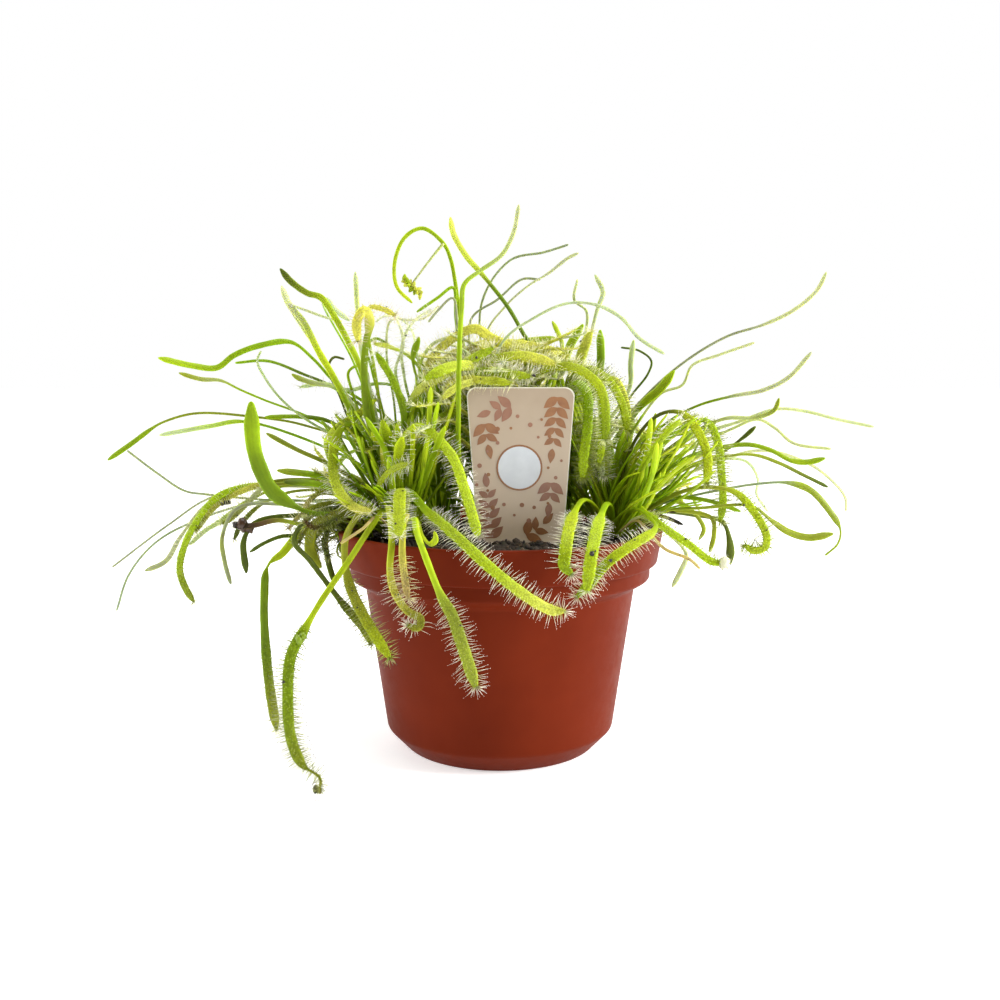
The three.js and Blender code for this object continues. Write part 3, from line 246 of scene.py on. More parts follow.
RIGHT_FRONT = [
    with_density(1.4, dusky("dark lime lime", 1.2, 2.5, 4, [34, 76, -3], [39, 87.5, -4], [44.5, 92.2, -6],
        [50, 92.3, -9], [55, 86.5, -12], [57.4, 80, -14], [57.2, 72.5, -15])),
    with_density(1.4, dusky("green lime lime", 1.2, 2.2, 3, [37, 75, -2], [48, 87, -2], [56.5, 90.3, -4],
        [60, 84.5, -7], [61.3, 76, -9], [61.9, 68, -10], [61.3, 62, -10])),
    bare("green lime green", 1.4, 1.8, 6, [40, 72, -2], [52, 80, 0], [62, 83, 1], [69, 83.6, 1],
        [75, 82, 1], [80.5, 79.2, 1], [85, 78.8, 1], [90, 79.9, 1]),
    bare("olive olive dark", 0.8, 1.1, 4, [40, 70, -4], [52, 77, -4], [62, 80.3, -4], [70, 80.8, -4],
        [77, 78.6, -4], [84, 75.2, -4], [91, 71.8, -4]),
    stalk("pale", 1, [42, 70, 2], [58, 78, 5], [72, 82, 6], [84, 79, 6], [91, 74.5, 5], [95.8, 69, 4],
        [96.2, 65, 4]),
    tailed(9, bare("grey olive olive", 0.7, 2, 4, [42, 66, -6], [56, 70, -8], [72, 72.8, -8],
        [80, 73, -8], [86, 71, -8], [91.5, 65.3, -8], [94.8, 60, -8], [94.3, 56, -8], [90.8, 52.6, -8])),
    bare("olive", 0.9, 2.1, 4, [42, 64.5, -12], [56, 66, -15], [70, 66.5, -16], [75.5, 62.5, -16],
        [80.5, 59.2, -16], [86, 57.7, -16], [93, 58.8, -16]),
    with_density(1.4, dusky("olive lime lime", 1.2, 2.2, 3, [42, 66, -10], [54, 71.5, -13], [65, 70.5, -15],
        [70.5, 65, -17], [74.2, 58.5, -18], [74, 55, -18], [71, 54, -18], [68, 55.7, -18])),
    dusky("lime", 1.6, 2, 2, [36.5, 67, -12], [40.5, 64.5, -22], [46, 60.3, -33],
        [53, 55.5, -37], [59, 51, -38], [62.8, 50.3, -38]),
    hairy("green lime green", 1.2, 2.5, 3, [37, 65.5, -18], [42.5, 62.5, -32], [42.8, 59.5, -42],
        [36, 55, -47], [30, 50.5, -48], [25, 44.5, -46.5], [21.3, 40.5, -46]),
    hairy("green lime lime", 1.6, 3.1, 3, [31, 65, -10], [29.8, 67.2, -20], [28, 63.5, -34],
        [26.4, 57.5, -44], [25.3, 51, -48], [24.2, 42, -49]),
    hairy("green lime green", 1.5, 3, 3, [27, 65.5, -10], [23.5, 68.3, -20], [20.6, 64.5, -34],
        [19, 59, -44], [18.2, 53, -48], [18, 49.5, -48.5], [20.5, 47, -48.5]),
    bare("brown black black", 1, 1.2, 2, [40, 64.5, -8], [46, 65, -8], [52, 65.5, -8]),
    bare("brown black black", 1, 1.1, 2, [40, 63.5, -12], [45, 63.7, -14], [51, 61.3, -15]),
    bare("olive", 1.1, 1.3, 3, [42, 66.5, -4], [50, 67.5, -3], [54.5, 64, -3], [56.8, 60, -3],
        [55.5, 57, -3]),
    bare("olive", 1.1, 1.3, 3, [42, 64.5, -6], [52, 65, -9], [59, 63, -10], [59.6, 58, -10],
        [58.5, 53.5, -10]),
    bare("dark", 1.2, 2.6, 4, [42, 64.5, -2], [54, 64, 2], [62, 62, 4], [64, 57, 4], [64.4, 50, 4]),
    stalk("pale", 0.9, [42, 72, 2], [58, 79, 4], [68, 79, 4], [71.5, 74, 4], [71.2, 70, 4],
        [74.5, 65, 4]),
    bare("dark", 0.8, 1.5, 3, [44, 70, 6], [58, 79, 8], [67, 85.5, 9], [70.5, 88.7, 9]),
    bare("green", 1.4, 1.6, 2, [38, 75, 4], [46, 85.5, 3], [52, 87.3, 2]),
    bare("green", 1.1, 1.3, 2, [40, 68.5, -8], [50, 69, -9], [58, 68, -10], [67, 65, -11]),
    stalk("tan", 0.9, [38, 62.5, -22], [41.5, 59, -30], [46, 54.5, -32], [53, 51.5, -33],
        [56, 48.8, -33]),
    bare("pale", 0.8, 1.4, 3, [39, 63.5, -20], [46, 59.5, -29], [52, 53, -31], [50.5, 48, -31],
        [48.2, 43.5, -31]),
]

LEFT_BACK = [
    bare("olive green green", 0.8, 1.7, 6, [-32, 80, 20], [-54, 89, 16], [-68, 91.3, 13],
        [-84, 92.2, 11], [-93, 89.7, 10], [-96, 88, 10], [-102, 83.7, 9], [-108.5, 79.3, 8]),
    bare("green lime pale", 0.9, 1.5, 3, [-35, 76, 18], [-56, 86, 13], [-71, 90, 8], [-80, 88.7, 6],
        [-94, 86.2, 5]),
    bare("deep deep green", 1.2, 1.4, 2, [-33, 80, 16], [-47, 90, 12], [-55, 91.3, 9],
        [-64.8, 91.2, 7]),
    stalk("grey", 0.7, [-40, 68, 16], [-60, 68, 10], [-81.5, 69.8, 5], [-87.5, 70.8, 4],
        [-94.5, 75.4, 3], [-103, 82, 2]),
    rusty("yellow lime olive", 0.9, 2.1, 3, [-38, 72, 14], [-55, 73.5, 9], [-67, 72.5, 6], [-78, 69.3, 4],
        [-84.3, 62.4, 3], [-88.2, 55, 2], [-89.6, 48.6, 1], [-88.3, 43.6, 0], [-85.8, 39.2, 0]),
    bare("pale", 1, 1.6, 4, [-40, 70, 20], [-62, 72, 16], [-80, 68, 13], [-89, 58, 11], [-93.5, 51, 10],
        [-99.5, 48.2, 9]),
    stalk("grey", 0.7, [-36, 72, 24], [-60, 72, 22], [-80, 69, 20], [-92, 61.5, 19],
        [-108.5, 49.3, 17]),
    stalk("grey", 0.8, [-38, 66, 26], [-65, 68, 25], [-88, 61, 24], [-97, 55.5, 23], [-104, 47, 22],
        [-107.8, 36.8, 21]),
    bare("green green lime", 1, 1.9, 4, [-28, 88, 16], [-45, 100.5, 10], [-51, 107, 8], [-57, 111.6, 6],
        [-66, 110.6, 4], [-72.8, 108, 3], [-77.5, 104.7, 2], [-84, 105.2, 1], [-93.5, 107.4, 0]),
    bare("green pale olive", 0.7, 1.4, 5, [-30, 76, 20], [-50, 90, 15], [-65, 96, 12],
        [-71.5, 98.8, 11], [-76.5, 101.2, 10], [-82, 101.6, 9], [-88, 103.3, 8]),
    stalk("pale", 0.8, [-28, 80, 14], [-50, 88.5, 9], [-60, 96, 5], [-65, 103, 3], [-66.4, 106.5, 2],
        [-65.3, 109.3, 1]),
    stalk("dark dark green", 0.9, [-27, 84, 22], [-45, 99, 18], [-54, 103, 16], [-63.5, 106.5, 13],
        [-72.5, 106, 11]),
]

RIGHT_BACK = [
    bare("grey pale pale", 0.8, 1.2, 5, [30, 85, 20], [40, 97, 16], [50.5, 106.3, 12], [62, 113.2, 9],
        [72, 116.4, 6], [80, 120.3, 4], [86, 125.5, 2], [88.5, 130.5, 1]),
    bare("green lime lime", 1.8, 2.6, 2, [30, 82, 16], [39, 94.5, 12], [44, 99, 10], [47.8, 104, 8]),
    stalk("pale", 0.9, [32, 80, 18], [44, 97.5, 14], [50, 100, 12], [52.6, 105.3, 10], [60, 108.2, 8],
        [69.5, 111.5, 6]),
    bare("green pale pale", 0.8, 1.3, 4, [32, 76, 16], [45, 89, 10], [54, 94.2, 7], [64, 97, 4],
        [72, 98.5, 2], [79, 102, 0], [85.2, 109, -2]),
    bare("olive pale olive", 1, 1.3, 3, [34, 72, 14], [50, 85, 8], [62, 90.8, 5], [70, 91, 3],
        [75.3, 93, 2], [76.7, 96.5, 2]),
    stalk("pale", 1, [36, 72, 18], [52, 85, 13], [66, 90, 10], [76, 93.4, 8], [84, 92.8, 6],
        [92, 90.8, 4], [103, 88.5, 2]),
    stalk("pale", 0.9, [36, 70, 20], [52, 82, 17], [64, 88, 14], [71, 90.6, 12], [76, 88, 10],
        [81, 84, 9], [91.5, 82.4, 7]),
    bare("pale", 1, 1.5, 3, [19, 88, 20], [24, 110, 16], [26.5, 120.5, 13], [28, 125, 12],
        [25.7, 129.8, 11]),
    stalk("pale", 0.9, [18, 88, 24], [23, 112, 20], [23.5, 120, 17], [20.2, 123, 15], [21, 128.5, 14]),
    bare("deep deep green", 2, 2.4, 2, [22, 86, 22], [27.3, 104, 19], [27.3, 115, 17]),
    bare("pale", 1.2, 1.6, 2, [26, 84, 22], [35.5, 99, 18], [35.8, 106, 16], [36.5, 112.3, 15]),
    stalk("grey dark dark", 0.7, [27, 82, 25], [36, 97, 22], [40.5, 103, 20], [41.4, 106.5, 19],
        [38, 109.3, 18], [33, 110.2, 17]),
]

MIDDLE = [
    bare("green green pale", 1.3, 1.3, 5, [-6, 66, -2], [-11, 78, -12], [-11.4, 95, -18], [-11, 112, -17],
        [-10.4, 121, -12], [-9.6, 127.3, -7], [-5, 131, -4], [0.5, 135, -2], [3.7, 141, -1],
        [5.1, 148.3, -1]),
    bare("deep lime yellow", 1.2, 1.7, 5, [4, 80, 10], [9.7, 107.5, 8], [6, 114.5, 7], [2.2, 121, 6],
        [-5, 130, 5], [-9, 134.5, 4], [-12.5, 140.5, 3], [-13.4, 145, 2]),
    bare("pale", 0.7, 1.1, 5, [0, 90, 14], [-4, 113, 13], [1.5, 121.3, 12], [8, 127, 11], [13, 130, 10],
        [18.5, 134.2, 9], [21.3, 135.5, 8]),
    stalk("grey", 0.7, [-5, 95, 16], [-8, 117.5, 15], [-0.5, 123.2, 14], [6, 128.5, 13],
        [11, 128.4, 12]),
    stalk("grey", 0.7, [-3, 95, 20], [-5, 122, 19], [2.7, 133.5, 18], [12, 135.7, 16],
        [18.5, 137.7, 15]),
    bare("pale", 0.8, 1.1, 5, [-3, 100, -2], [1, 112, -3], [9, 118, -4], [18, 122, -4], [26, 121.7, -4],
        [33, 118.2, -4], [38, 112.7, -4], [45, 108.4, -4]),
    stalk("green", 0.9, [-9, 95, 5], [-12, 118, 4], [-12.7, 126.3, 3], [-17, 123.5, 2],
        [-22.7, 119.7, 1]),
    stalk("grey", 0.7, [-8, 92, 2], [-11.5, 115, 0], [-12.8, 123.5, -1], [-17, 120, -2],
        [-19.5, 117, -3]),
    rusty("green yellow yellow", 1.8, 3.4, 2, [-8, 84, 12], [-17, 99, 10], [-14, 107.5, 4],
        [-4, 109.3, 0], [6, 107.8, -3], [11, 105.5, -4]),
    rusty("green yellow yellow", 1.8, 3.2, 2, [9, 84, 14], [20, 100, 11], [17, 107.5, 6], [7, 110.7, 3],
        [-4, 111, 2], [-11, 108.5, 1]),
    rusty("green yellow lime", 1.8, 3.2, 2, [5, 86, 8], [4, 99, 0], [-4, 104.5, -6], [-13, 105, -10],
        [-21, 101.5, -12]),
    with_density(1.5, rusty("green lime green", 1.8, 2.8, 2, [4, 86, 5], [8, 100.8, -2], [15, 105, -8],
        [22, 104, -12], [27.5, 99, -14], [29, 91, -15], [28.8, 84.5, -15])),
    bare("green lime lime", 1.8, 2.4, 2, [10, 84, 10], [17, 104, 8], [19.3, 111, 7], [22.7, 116.5, 6]),
    bare("green lime lime", 1.2, 1.4, 2, [9, 90, 16], [17, 110, 14], [15.5, 114.8, 13],
        [14.2, 117.3, 12]),
    bare("green yellow lime", 0.8, 1.8, 3, [0, 90, 18], [-2, 108, 17], [3, 111.2, 14], [15, 112.9, 10]),
    rusty("green olive yellow", 1, 1.8, 3, [-14, 90, 6], [-24, 107, 4], [-30, 110.3, 3],
        [-34.5, 111.2, 3]),
    bare("green olive olive", 1, 2.4, 3, [-12, 92, 8], [-20, 104, 7], [-23.3, 109, 7], [-22, 113, 6]),
    rusty("green lime yellow", 1.8, 2.8, 2, [12, 84, 6], [20, 101, 2], [22.5, 109, 1], [25, 115, 0]),
    hairy("green yellow lime", 1.8, 2.8, 3, [-14, 76, 6], [-26, 86, 1], [-23.7, 97, -4], [-16.6, 102, -7],
        [-8.3, 106.6, -7], [-1.5, 110.2, -6]),
    rusty("green yellow yellow", 1.8, 2.8, 2, [-10, 84, 10], [-20, 98, 6], [-18.7, 107, 2],
        [-11.6, 113.4, 0], [-6.7, 115.2, -1], [-2.3, 112.7, -2], [3.4, 110, -2]),
    rusty("green lime yellow", 1.8, 2.8, 2, [-2, 84, 10], [-6, 98, 4], [-5.6, 105, -4], [0.1, 107.4, -7],
        [7.2, 107.9, -9], [15.5, 105.6, -10]),
    hairy("green green lime", 1.8, 2.6, 2, [-8, 84, 6], [-12, 96, 0], [-8.6, 102.6, -8],
        [-2.3, 103.7, -11], [3.4, 102.8, -13], [8.9, 102.3, -14]),
    with_density(1.5, dusky("green lime lime", 1.6, 2.4, 2, [10, 84, 10], [18, 99, 6], [23, 104.5, 2],
        [29, 102, -1], [33.5, 95, -3], [35.2, 87, -4])),
    with_density(1.5, dusky("green green lime", 1.8, 2.7, 2, [9, 82, 6], [16, 95, 0], [20.5, 100.5, -6],
        [23.7, 98, -10], [24.2, 90, -12], [23.2, 80.7, -13], [22.8, 74, -13])),
    hairy("green lime lime", 1.2, 1.7, 2, [12, 80, 10], [22, 89, 6], [27, 87, 0], [28, 81, -4],
        [29.6, 74.5, -6]),
    hairy("green lime lime", 1.8, 3, 3, [-14, 70, 8], [-26, 77, 4], [-22.4, 85, 0], [-16.7, 90.4, -2],
        [-10.6, 93.6, -3]),
]
SCAPE = {
    "width": 1.1,
    "loop": [[-8, 90, 12], [-10.5, 115, 11], [-12.2, 128, 10], [-13.4, 134, 10], [-15.3, 138, 9.5],
        [-20.8, 142, 8], [-25.5, 139.8, 7], [-28.4, 133.5, 6], [-28, 126.5, 5], [-23.8, 122.1, 4]],
    "branch_width": 0.7,
    "branch": [[-15.3, 138, 9.5], [-19, 133.6, 8.5], [-23.6, 127.6, 7.5]],
    "buds": 18,
    "buds_from": [-26, 128.3, 7.5],
    "buds_to": [-21.6, 124.6, 7.5],
}

# Small lumps that cling to leaves: a route point by the leaf, the lump's radius and its tone.
CLINGING = [
    ([-71.7, 61.2, -8], 1.8, "umber"),
    ([-69.6, 60.4, -8], 1.3, "umber"),
    ([-73.6, 61.4, -8], 1.1, "black"),
    ([-75.7, 67.4, 4], 1, "black"),
    ([-76.1, 66, 4], 0.7, "black"),
    ([-53, -15.4, -45], 0.9, "black"),
    ([-54.1, -14.8, -45], 0.6, "black"),
    ([-51.6, -16.3, -45], 0.5, "brown"),
    ([-56.6, 28.7, -43], 1.3, "green"),
    ([-55.4, 29.6, -43], 0.9, "green"),
    ([62.8, 50.5, -38], 1.5, "white"),
    ([61.7, 50.2, -38], 0.7, "olive"),
    ([25.9, 54, -49], 0.55, "black"),
    ([26.4, 53.1, -49], 0.35, "black"),
    ([30.9, 51.2, -50], 0.5, "black"),
    ([-22.3, 71, -27], 0.5, "black"),
    ([-6.2, 107.1, -9], 0.5, "black"),
    ([10.8, 103.5, -15], 0.5, "black"),
]


# Leaves that fan out of a crown; the higher the bend, the nearer to their tips they turn over.
def tuft(kind, count, bearing, rise, end, length, bend=1.6):
    return {"kind": kind, "count": count, "bearing": bearing, "rise": rise, "end": end, "length": length,
        "bend": bend}


CROWNS = [
    {"name": "left_front", "at": (-28, -6), "leaves": LEFT_FRONT, "seed": 11, "tufts": [
        tuft("hairy", 6, (60, 300), (72, 86), (30, 75), (34, 52)),
        tuft("bare", 12, (40, 250), (50, 88), (40, 80), (24, 44)),
    ]},
    {"name": "right_front", "at": (31, -5), "leaves": RIGHT_FRONT, "seed": 23, "tufts": [
        tuft("hairy", 8, (-60, 130), (62, 86), (5, 70), (34, 54)),
        tuft("bare", 18, (-40, 130), (22, 88), (10, 80), (28, 50)),
    ]},
    {"name": "left_back", "at": (-17, 20), "leaves": LEFT_BACK, "seed": 37, "tufts": [
        tuft("hairy", 8, (85, 190), (55, 82), (-75, 30), (55, 92)),
        tuft("bare", 10, (0, 360), (62, 88), (45, 88), (30, 50)),
    ]},
    {"name": "right_back", "at": (18, 21), "leaves": RIGHT_BACK, "seed": 41, "tufts": [
        tuft("hairy", 8, (-10, 95), (55, 82), (-75, 30), (55, 92)),
        tuft("bare", 8, (-50, 90), (55, 86), (45, 85), (30, 48)),
    ]},
    {"name": "middle", "at": (1, 6), "leaves": MIDDLE, "seed": 59, "tufts": [
        tuft("hairy", 5, (50, 130), (70, 86), (-20, 60), (45, 80)),
    ]},
]
# Finer leaves that thicken the crowns from within; the part leaves them out.
FILL = [
    {"name": "left_front", "at": (-27, -5), "spread": 7, "seed": 311, "top": 102, "tufts": [
        tuft("fine", 90, (0, 360), (58, 88), (45, 88), (22, 44)),
        tuft("fine", 26, (130, 260), (25, 60), (-5, 40), (16, 28)),
        tuft("wispy", 12, (140, 215), (25, 60), (-20, 50), (22, 38)),
        tuft("withered", 24, (150, 215), (4, 30), (-70, 10), (12, 24)),
    ], "leaves": [
        with_density(0.5, hairy("green pale white", 0.8, 0.9, 2, [-24, 90, 4], [-26.2, 102, 2],
            [-26.9, 109.5, 2], [-25.5, 114.4, 1], [-22.5, 118.1, 1], [-18.6, 120.3, 0])),
        with_density(0.5, hairy("green pale white", 0.8, 0.8, 2, [-26, 92, 2], [-28.6, 104, 0],
            [-26.4, 110.8, 0], [-27.4, 116.2, -1], [-29.5, 119.7, -1], [-32.8, 121.4, -1])),
        with_density(0.5, hairy("green lime white", 0.8, 1.1, 2, [-20, 92, 3], [-22, 104.8, 2],
            [-18.7, 110.8, 2], [-14.6, 112.7, 1], [-10.5, 113.3, 1])),
        with_density(0.4, hairy("green pale white", 0.7, 0.7, 2, [-29, 94, 5], [-31, 109, 4],
            [-29.7, 117.5, 3], [-24.7, 117.6, 3], [-20.6, 118.1, 3], [-16.5, 121.4, 3])),
        with_density(0.4, hairy("green white white", 0.7, 0.7, 2, [-21, 92, 6], [-22.6, 108, 5],
            [-24.1, 114.9, 4], [-27.4, 118.1, 4], [-31.2, 118.7, 4], [-33.9, 117.1, 4])),
        bare("green green green", 0.7, 2.3, 3, [-18, 90, 0], [-22.5, 101, -2], [-23.8, 107.5, -3],
            [-22, 112.6, -4]),
        bare("green pale olive", 0.9, 1.6, 3, [-36, 84, 4], [-42, 96, 3], [-46.2, 99.6, 2],
            [-51.1, 100.5, 2], [-55.2, 101.9, 2], [-57.1, 103, 2]),
        with_density(0.4, hairy("green pale pale", 0.9, 1.2, 3, [-25, 92, 8], [-28.9, 99.5, 7],
            [-34.4, 100.3, 6], [-41.3, 98.6, 5], [-48.1, 100.3, 4], [-55, 99.4, 3])),
    ]},
    {"name": "left_front", "at": (-37, -8), "spread": 9, "seed": 347, "top": 80, "tufts": [
        tuft("withered", 45, (150, 215), (10, 65), (-170, -20), (9, 20), 1.2),
    ], "leaves": [
        with_density(1.2, dusky("olive olive dark", 0.9, 1.5, 2, [-40, 64, -12], [-46, 64.5, -14],
            [-51, 62.5, -15], [-55, 59, -16], [-56, 56, -16])),
        with_density(1.2, dusky("dark olive olive", 0.8, 1.4, 2, [-40, 63.5, -10], [-45, 62.5, -12],
            [-50, 59.5, -14], [-52, 56.5, -14], [-50.5, 54, -14])),
        with_density(1.2, rusty("olive olive tan", 0.9, 1.4, 2, [-38, 66, -8], [-45, 67.5, -9],
            [-51, 66.5, -10], [-56, 63.5, -10], [-59, 60, -10])),
        with_density(1.2, dusky("olive dark brown", 0.8, 1.3, 2, [-38, 65.5, -14], [-44, 64, -18],
            [-48.5, 61.5, -20], [-52, 60.5, -20], [-54.5, 62.5, -20])),
        with_density(1.2, rusty("green olive tan", 0.9, 1.5, 2, [-37, 69, -6], [-43, 71.5, -7],
            [-48.5, 71, -8], [-53, 68, -8], [-55, 64.5, -8])),
        with_density(1.2, dusky("olive dark dark", 0.8, 1.2, 2, [-39, 64.5, -12], [-45.5, 62, -14],
            [-49, 57.5, -15], [-49, 54.5, -15], [-47.5, 52.5, -15])),
    ]},
    {"name": "left_back", "at": (-17, 18), "spread": 8, "seed": 337, "top": 106, "tufts": [
        tuft("fine", 70, (0, 360), (62, 88), (50, 88), (26, 50)),
        tuft("wispy", 10, (60, 200), (55, 80), (20, 70), (36, 52)),
    ], "leaves": [
        rusty("olive yellow olive", 1, 1.8, 3, [-40, 72, 12], [-57, 74, 8], [-66.1, 72.7, 5],
            [-70.9, 71, 4], [-75.7, 68.8, 4], [-79.6, 66, 3], [-82.5, 62.6, 3], [-84.9, 59.2, 3]),
        rusty("olive pale olive", 1, 1.6, 3, [-40, 71, 10], [-56, 73, 6], [-65.6, 71.6, 3],
            [-69, 68.5, 3], [-72.4, 65.1, 2], [-75, 62.9, 2], [-77.5, 61.5, 2]),
        rusty("olive lime pale", 0.9, 1.5, 3, [-42, 71, 14], [-58, 72.5, 10], [-69, 68.5, 7],
            [-78.6, 61.8, 6], [-82.3, 59.5, 6], [-86.7, 55.6, 5]),
        rusty("olive olive dark", 0.9, 1.5, 3, [-42, 70, 16], [-58, 70.5, 12], [-67, 66.5, 9],
            [-72, 61.5, 8], [-74.2, 57, 8]),
    ]},
    {"name": "middle", "at": (1, 8), "spread": 10, "seed": 359, "top": 116, "tufts": [
        tuft("fine", 90, (0, 360), (66, 89), (45, 88), (26, 48)),
        tuft("wispy", 22, (0, 360), (74, 88), (-30, 50), (48, 62)),
        tuft("fringed", 26, (150, 240), (80, 89), (-25, 15), (48, 68), 6),
        tuft("fringed", 26, (-60, 30), (80, 89), (-45, 15), (48, 72), 6),
        tuft("fringed", 22, (230, 310), (80, 89), (-20, 20), (44, 58), 6),
    ], "leaves": [
        with_density(1.3, dusky("green lime lime", 1.4, 2.2, 2, [12, 84, 8], [20, 97, 2], [25.2, 101, -4],
            [27.6, 97, -8], [28.2, 88, -10], [27.4, 78, -11])),
        rusty("green lime pale", 1.2, 1.8, 2, [12, 80, 4], [19, 88, -2], [24.5, 89, -6],
            [27.5, 83, -8], [28.4, 74.5, -9]),
        rusty("green yellow lime", 1.4, 2.2, 2, [14, 84, 10], [25, 99, 7], [31, 101.5, 4],
            [34.3, 96, 2], [35, 87, 1], [33.4, 79, 0]),
        rusty("green yellow lime", 1.4, 2.4, 2, [-4, 84, 8], [-13, 95, 2], [-14.5, 100.2, -6],
            [-9.5, 101.5, -11], [-3, 101.1, -14], [3.5, 100.4, -16]),
        rusty("green yellow yellow", 1.2, 2.2, 2, [6, 84, 10], [3, 97, 2], [-1, 101.6, -8],
            [-7, 101, -12.5], [-12.5, 99, -15], [-16, 96, -16]),
    ]},
    {"name": "right_front", "at": (31, -4), "spread": 6, "seed": 323, "top": 100, "tufts": [
        tuft("fine", 110, (-70, 140), (24, 88), (8, 80), (22, 46)),
        tuft("fine", 30, (90, 200), (62, 88), (50, 88), (24, 44)),
        tuft("fringed", 8, (-40, 60), (30, 70), (-30, 30), (34, 50)),
    ], "leaves": []},
    {"name": "right_back", "at": (18, 19), "spread": 8, "seed": 341, "top": 106, "tufts": [
        tuft("fine", 80, (0, 360), (60, 88), (50, 88), (26, 50)),
        tuft("wispy", 10, (0, 120), (55, 80), (20, 70), (36, 52)),
    ], "leaves": []},
]
YOUNG = {
    "hairy": {"petiole": (1.5, 2), "blade": (2.3, 3.1)},
    "bare": {"petiole": (1.2, 1.7), "blade": (1.5, 2.2)},
    "fine": {"petiole": (0.9, 1.3), "blade": (1.1, 1.9)},
    "wispy": {"petiole": (0.9, 1.2), "blade": (1.3, 2.1)},
    "fringed": {"petiole": (0.9, 1.2), "blade": (1.4, 2.2)},
    "withered": {"petiole": (0.7, 1.0), "blade": (0.7, 1.3)},
    "blade_from": 0.5,
    "tries": 30,
}
GOLDEN_ANGLE = 137.508
BOUNDS = {"across": 60, "up": 106, "wide_up": 92, "narrow": 24, "below_rim": 58, "behind_pot": 33, "back": 84,
    "lowest": 3}
CLEARANCE = {"leaf": 0.9, "label": 2.2, "rim": 1.4, "inside_rim": 6, "near_crown": 9}
FRONT_FACE = np.array([0, -0.85, 0.5])

# ---------- mesh helpers ----------


def add_mesh(name, points, triangles, materials, attributes=None, slots=None, smooth=True):
    """A mesh object from points in millimetres and triangles, with float or colour attributes on its points."""
    points = np.asarray(points, np.float32)
    triangles = np.asarray(triangles, np.int32)
    mesh = bpy.data.meshes.new(name)
    mesh.vertices.add(len(points))
    mesh.vertices.foreach_set("co", (points * MM).ravel())
    mesh.loops.add(triangles.size)
    mesh.loops.foreach_set("vertex_index", triangles.ravel())
    mesh.polygons.add(len(triangles))
    mesh.polygons.foreach_set("loop_start", np.arange(0, triangles.size, 3, dtype=np.int32))
    mesh.polygons.foreach_set("use_smooth", np.full(len(triangles), smooth))
    if slots is not None:
        mesh.polygons.foreach_set("material_index", np.asarray(slots, np.int32))
    for key, values in (attributes or {}).items():
        values = np.asarray(values, np.float32)
        if values.ndim == 2:
            rgba = np.column_stack([values, np.ones(len(values), np.float32)])
            mesh.attributes.new(key, "FLOAT_COLOR", "POINT").data.foreach_set("color", rgba.ravel())
        else:
            mesh.attributes.new(key, "FLOAT", "POINT").data.foreach_set("value", values)
    mesh.update(calc_edges=True)
    mesh.validate()
    for material in materials:
        mesh.materials.append(material)
    piece = bpy.data.objects.new(name, mesh)
    bpy.context.scene.collection.objects.link(piece)
    return piece


class Parts:
    """Collects small closed meshes into one: points, triangles, attributes and material slots."""

    def __init__(self):
        self.points, self.triangles, self.slots, self.attributes, self.count = [], [], [], {}, 0

    def add(self, points, triangles, slot=0, **attributes):
        self.points.append(points)
        self.triangles.append(np.asarray(triangles) + self.count)
        self.slots.append(np.full(len(triangles), slot))
        for key, values in attributes.items():
            self.attributes.setdefault(key, []).append(values)
        self.count += len(points)

    def piece(self, name, materials, smooth=True):
        attributes = {key: np.concatenate(values) for key, values in self.attributes.items()}
        points, triangles = np.concatenate(self.points), np.concatenate(self.triangles)
        return add_mesh(name, points, triangles, materials, attributes, np.concatenate(self.slots), smooth)


def unit(vectors):
    return vectors / np.maximum(np.linalg.norm(vectors, axis=-1, keepdims=True), 1e-9)


def grid_triangles(rows, columns, wrap):
    """Triangles of a grid of rows by columns points; the columns close on themselves when wrapped."""
    row = np.arange(rows - 1)[:, None] * columns
    column = np.arange(columns if wrap else columns - 1)[None, :]
    after = (column + 1) % columns
    a, b, c, d = row + column, row + after, row + columns + after, row + columns + column
    return np.concatenate([np.stack([a, b, c], -1).reshape(-1, 3), np.stack([a, c, d], -1).reshape(-1, 3)])


def between(pair, share):
    return pair[0] + (pair[1] - pair[0]) * share


def ramp(values, low, high):
    share = np.clip((values - low) / (high - low), 0, 1)
    return share * share * (3 - 2 * share)


# Smooth noise from a few sines, about -1 to 1, the same on every run.
def waves(x, y, scale, seed):
    total = np.zeros_like(x, dtype=float)
    draw = np.random.default_rng(seed)
    for octave in range(4):
        angle = draw.uniform(0, 2 * math.pi, 3)
        size = draw.uniform(1, 1.9, 3) * scale * 1.7**octave
        for turn, rate in zip(angle, size):
            shift = draw.uniform(0, 6)
            total += np.sin(rate * (x * math.cos(turn) + y * math.sin(turn)) + shift) / 1.6**octave
    return total / 4.5


# ---------- leaves, traced as in the part ----------


def place(route_point):
    across, up, depth = route_point
    nearness = (depth + EYE["front"]) / EYE["front"]
    return np.array([across * nearness, depth, EYE["height"] + (up - EYE["height"]) * nearness])


def seen(point):
    nearness = (point[1] + EYE["front"]) / EYE["front"]
    return point[0] / nearness, EYE["height"] + (point[2] - EYE["height"]) / nearness


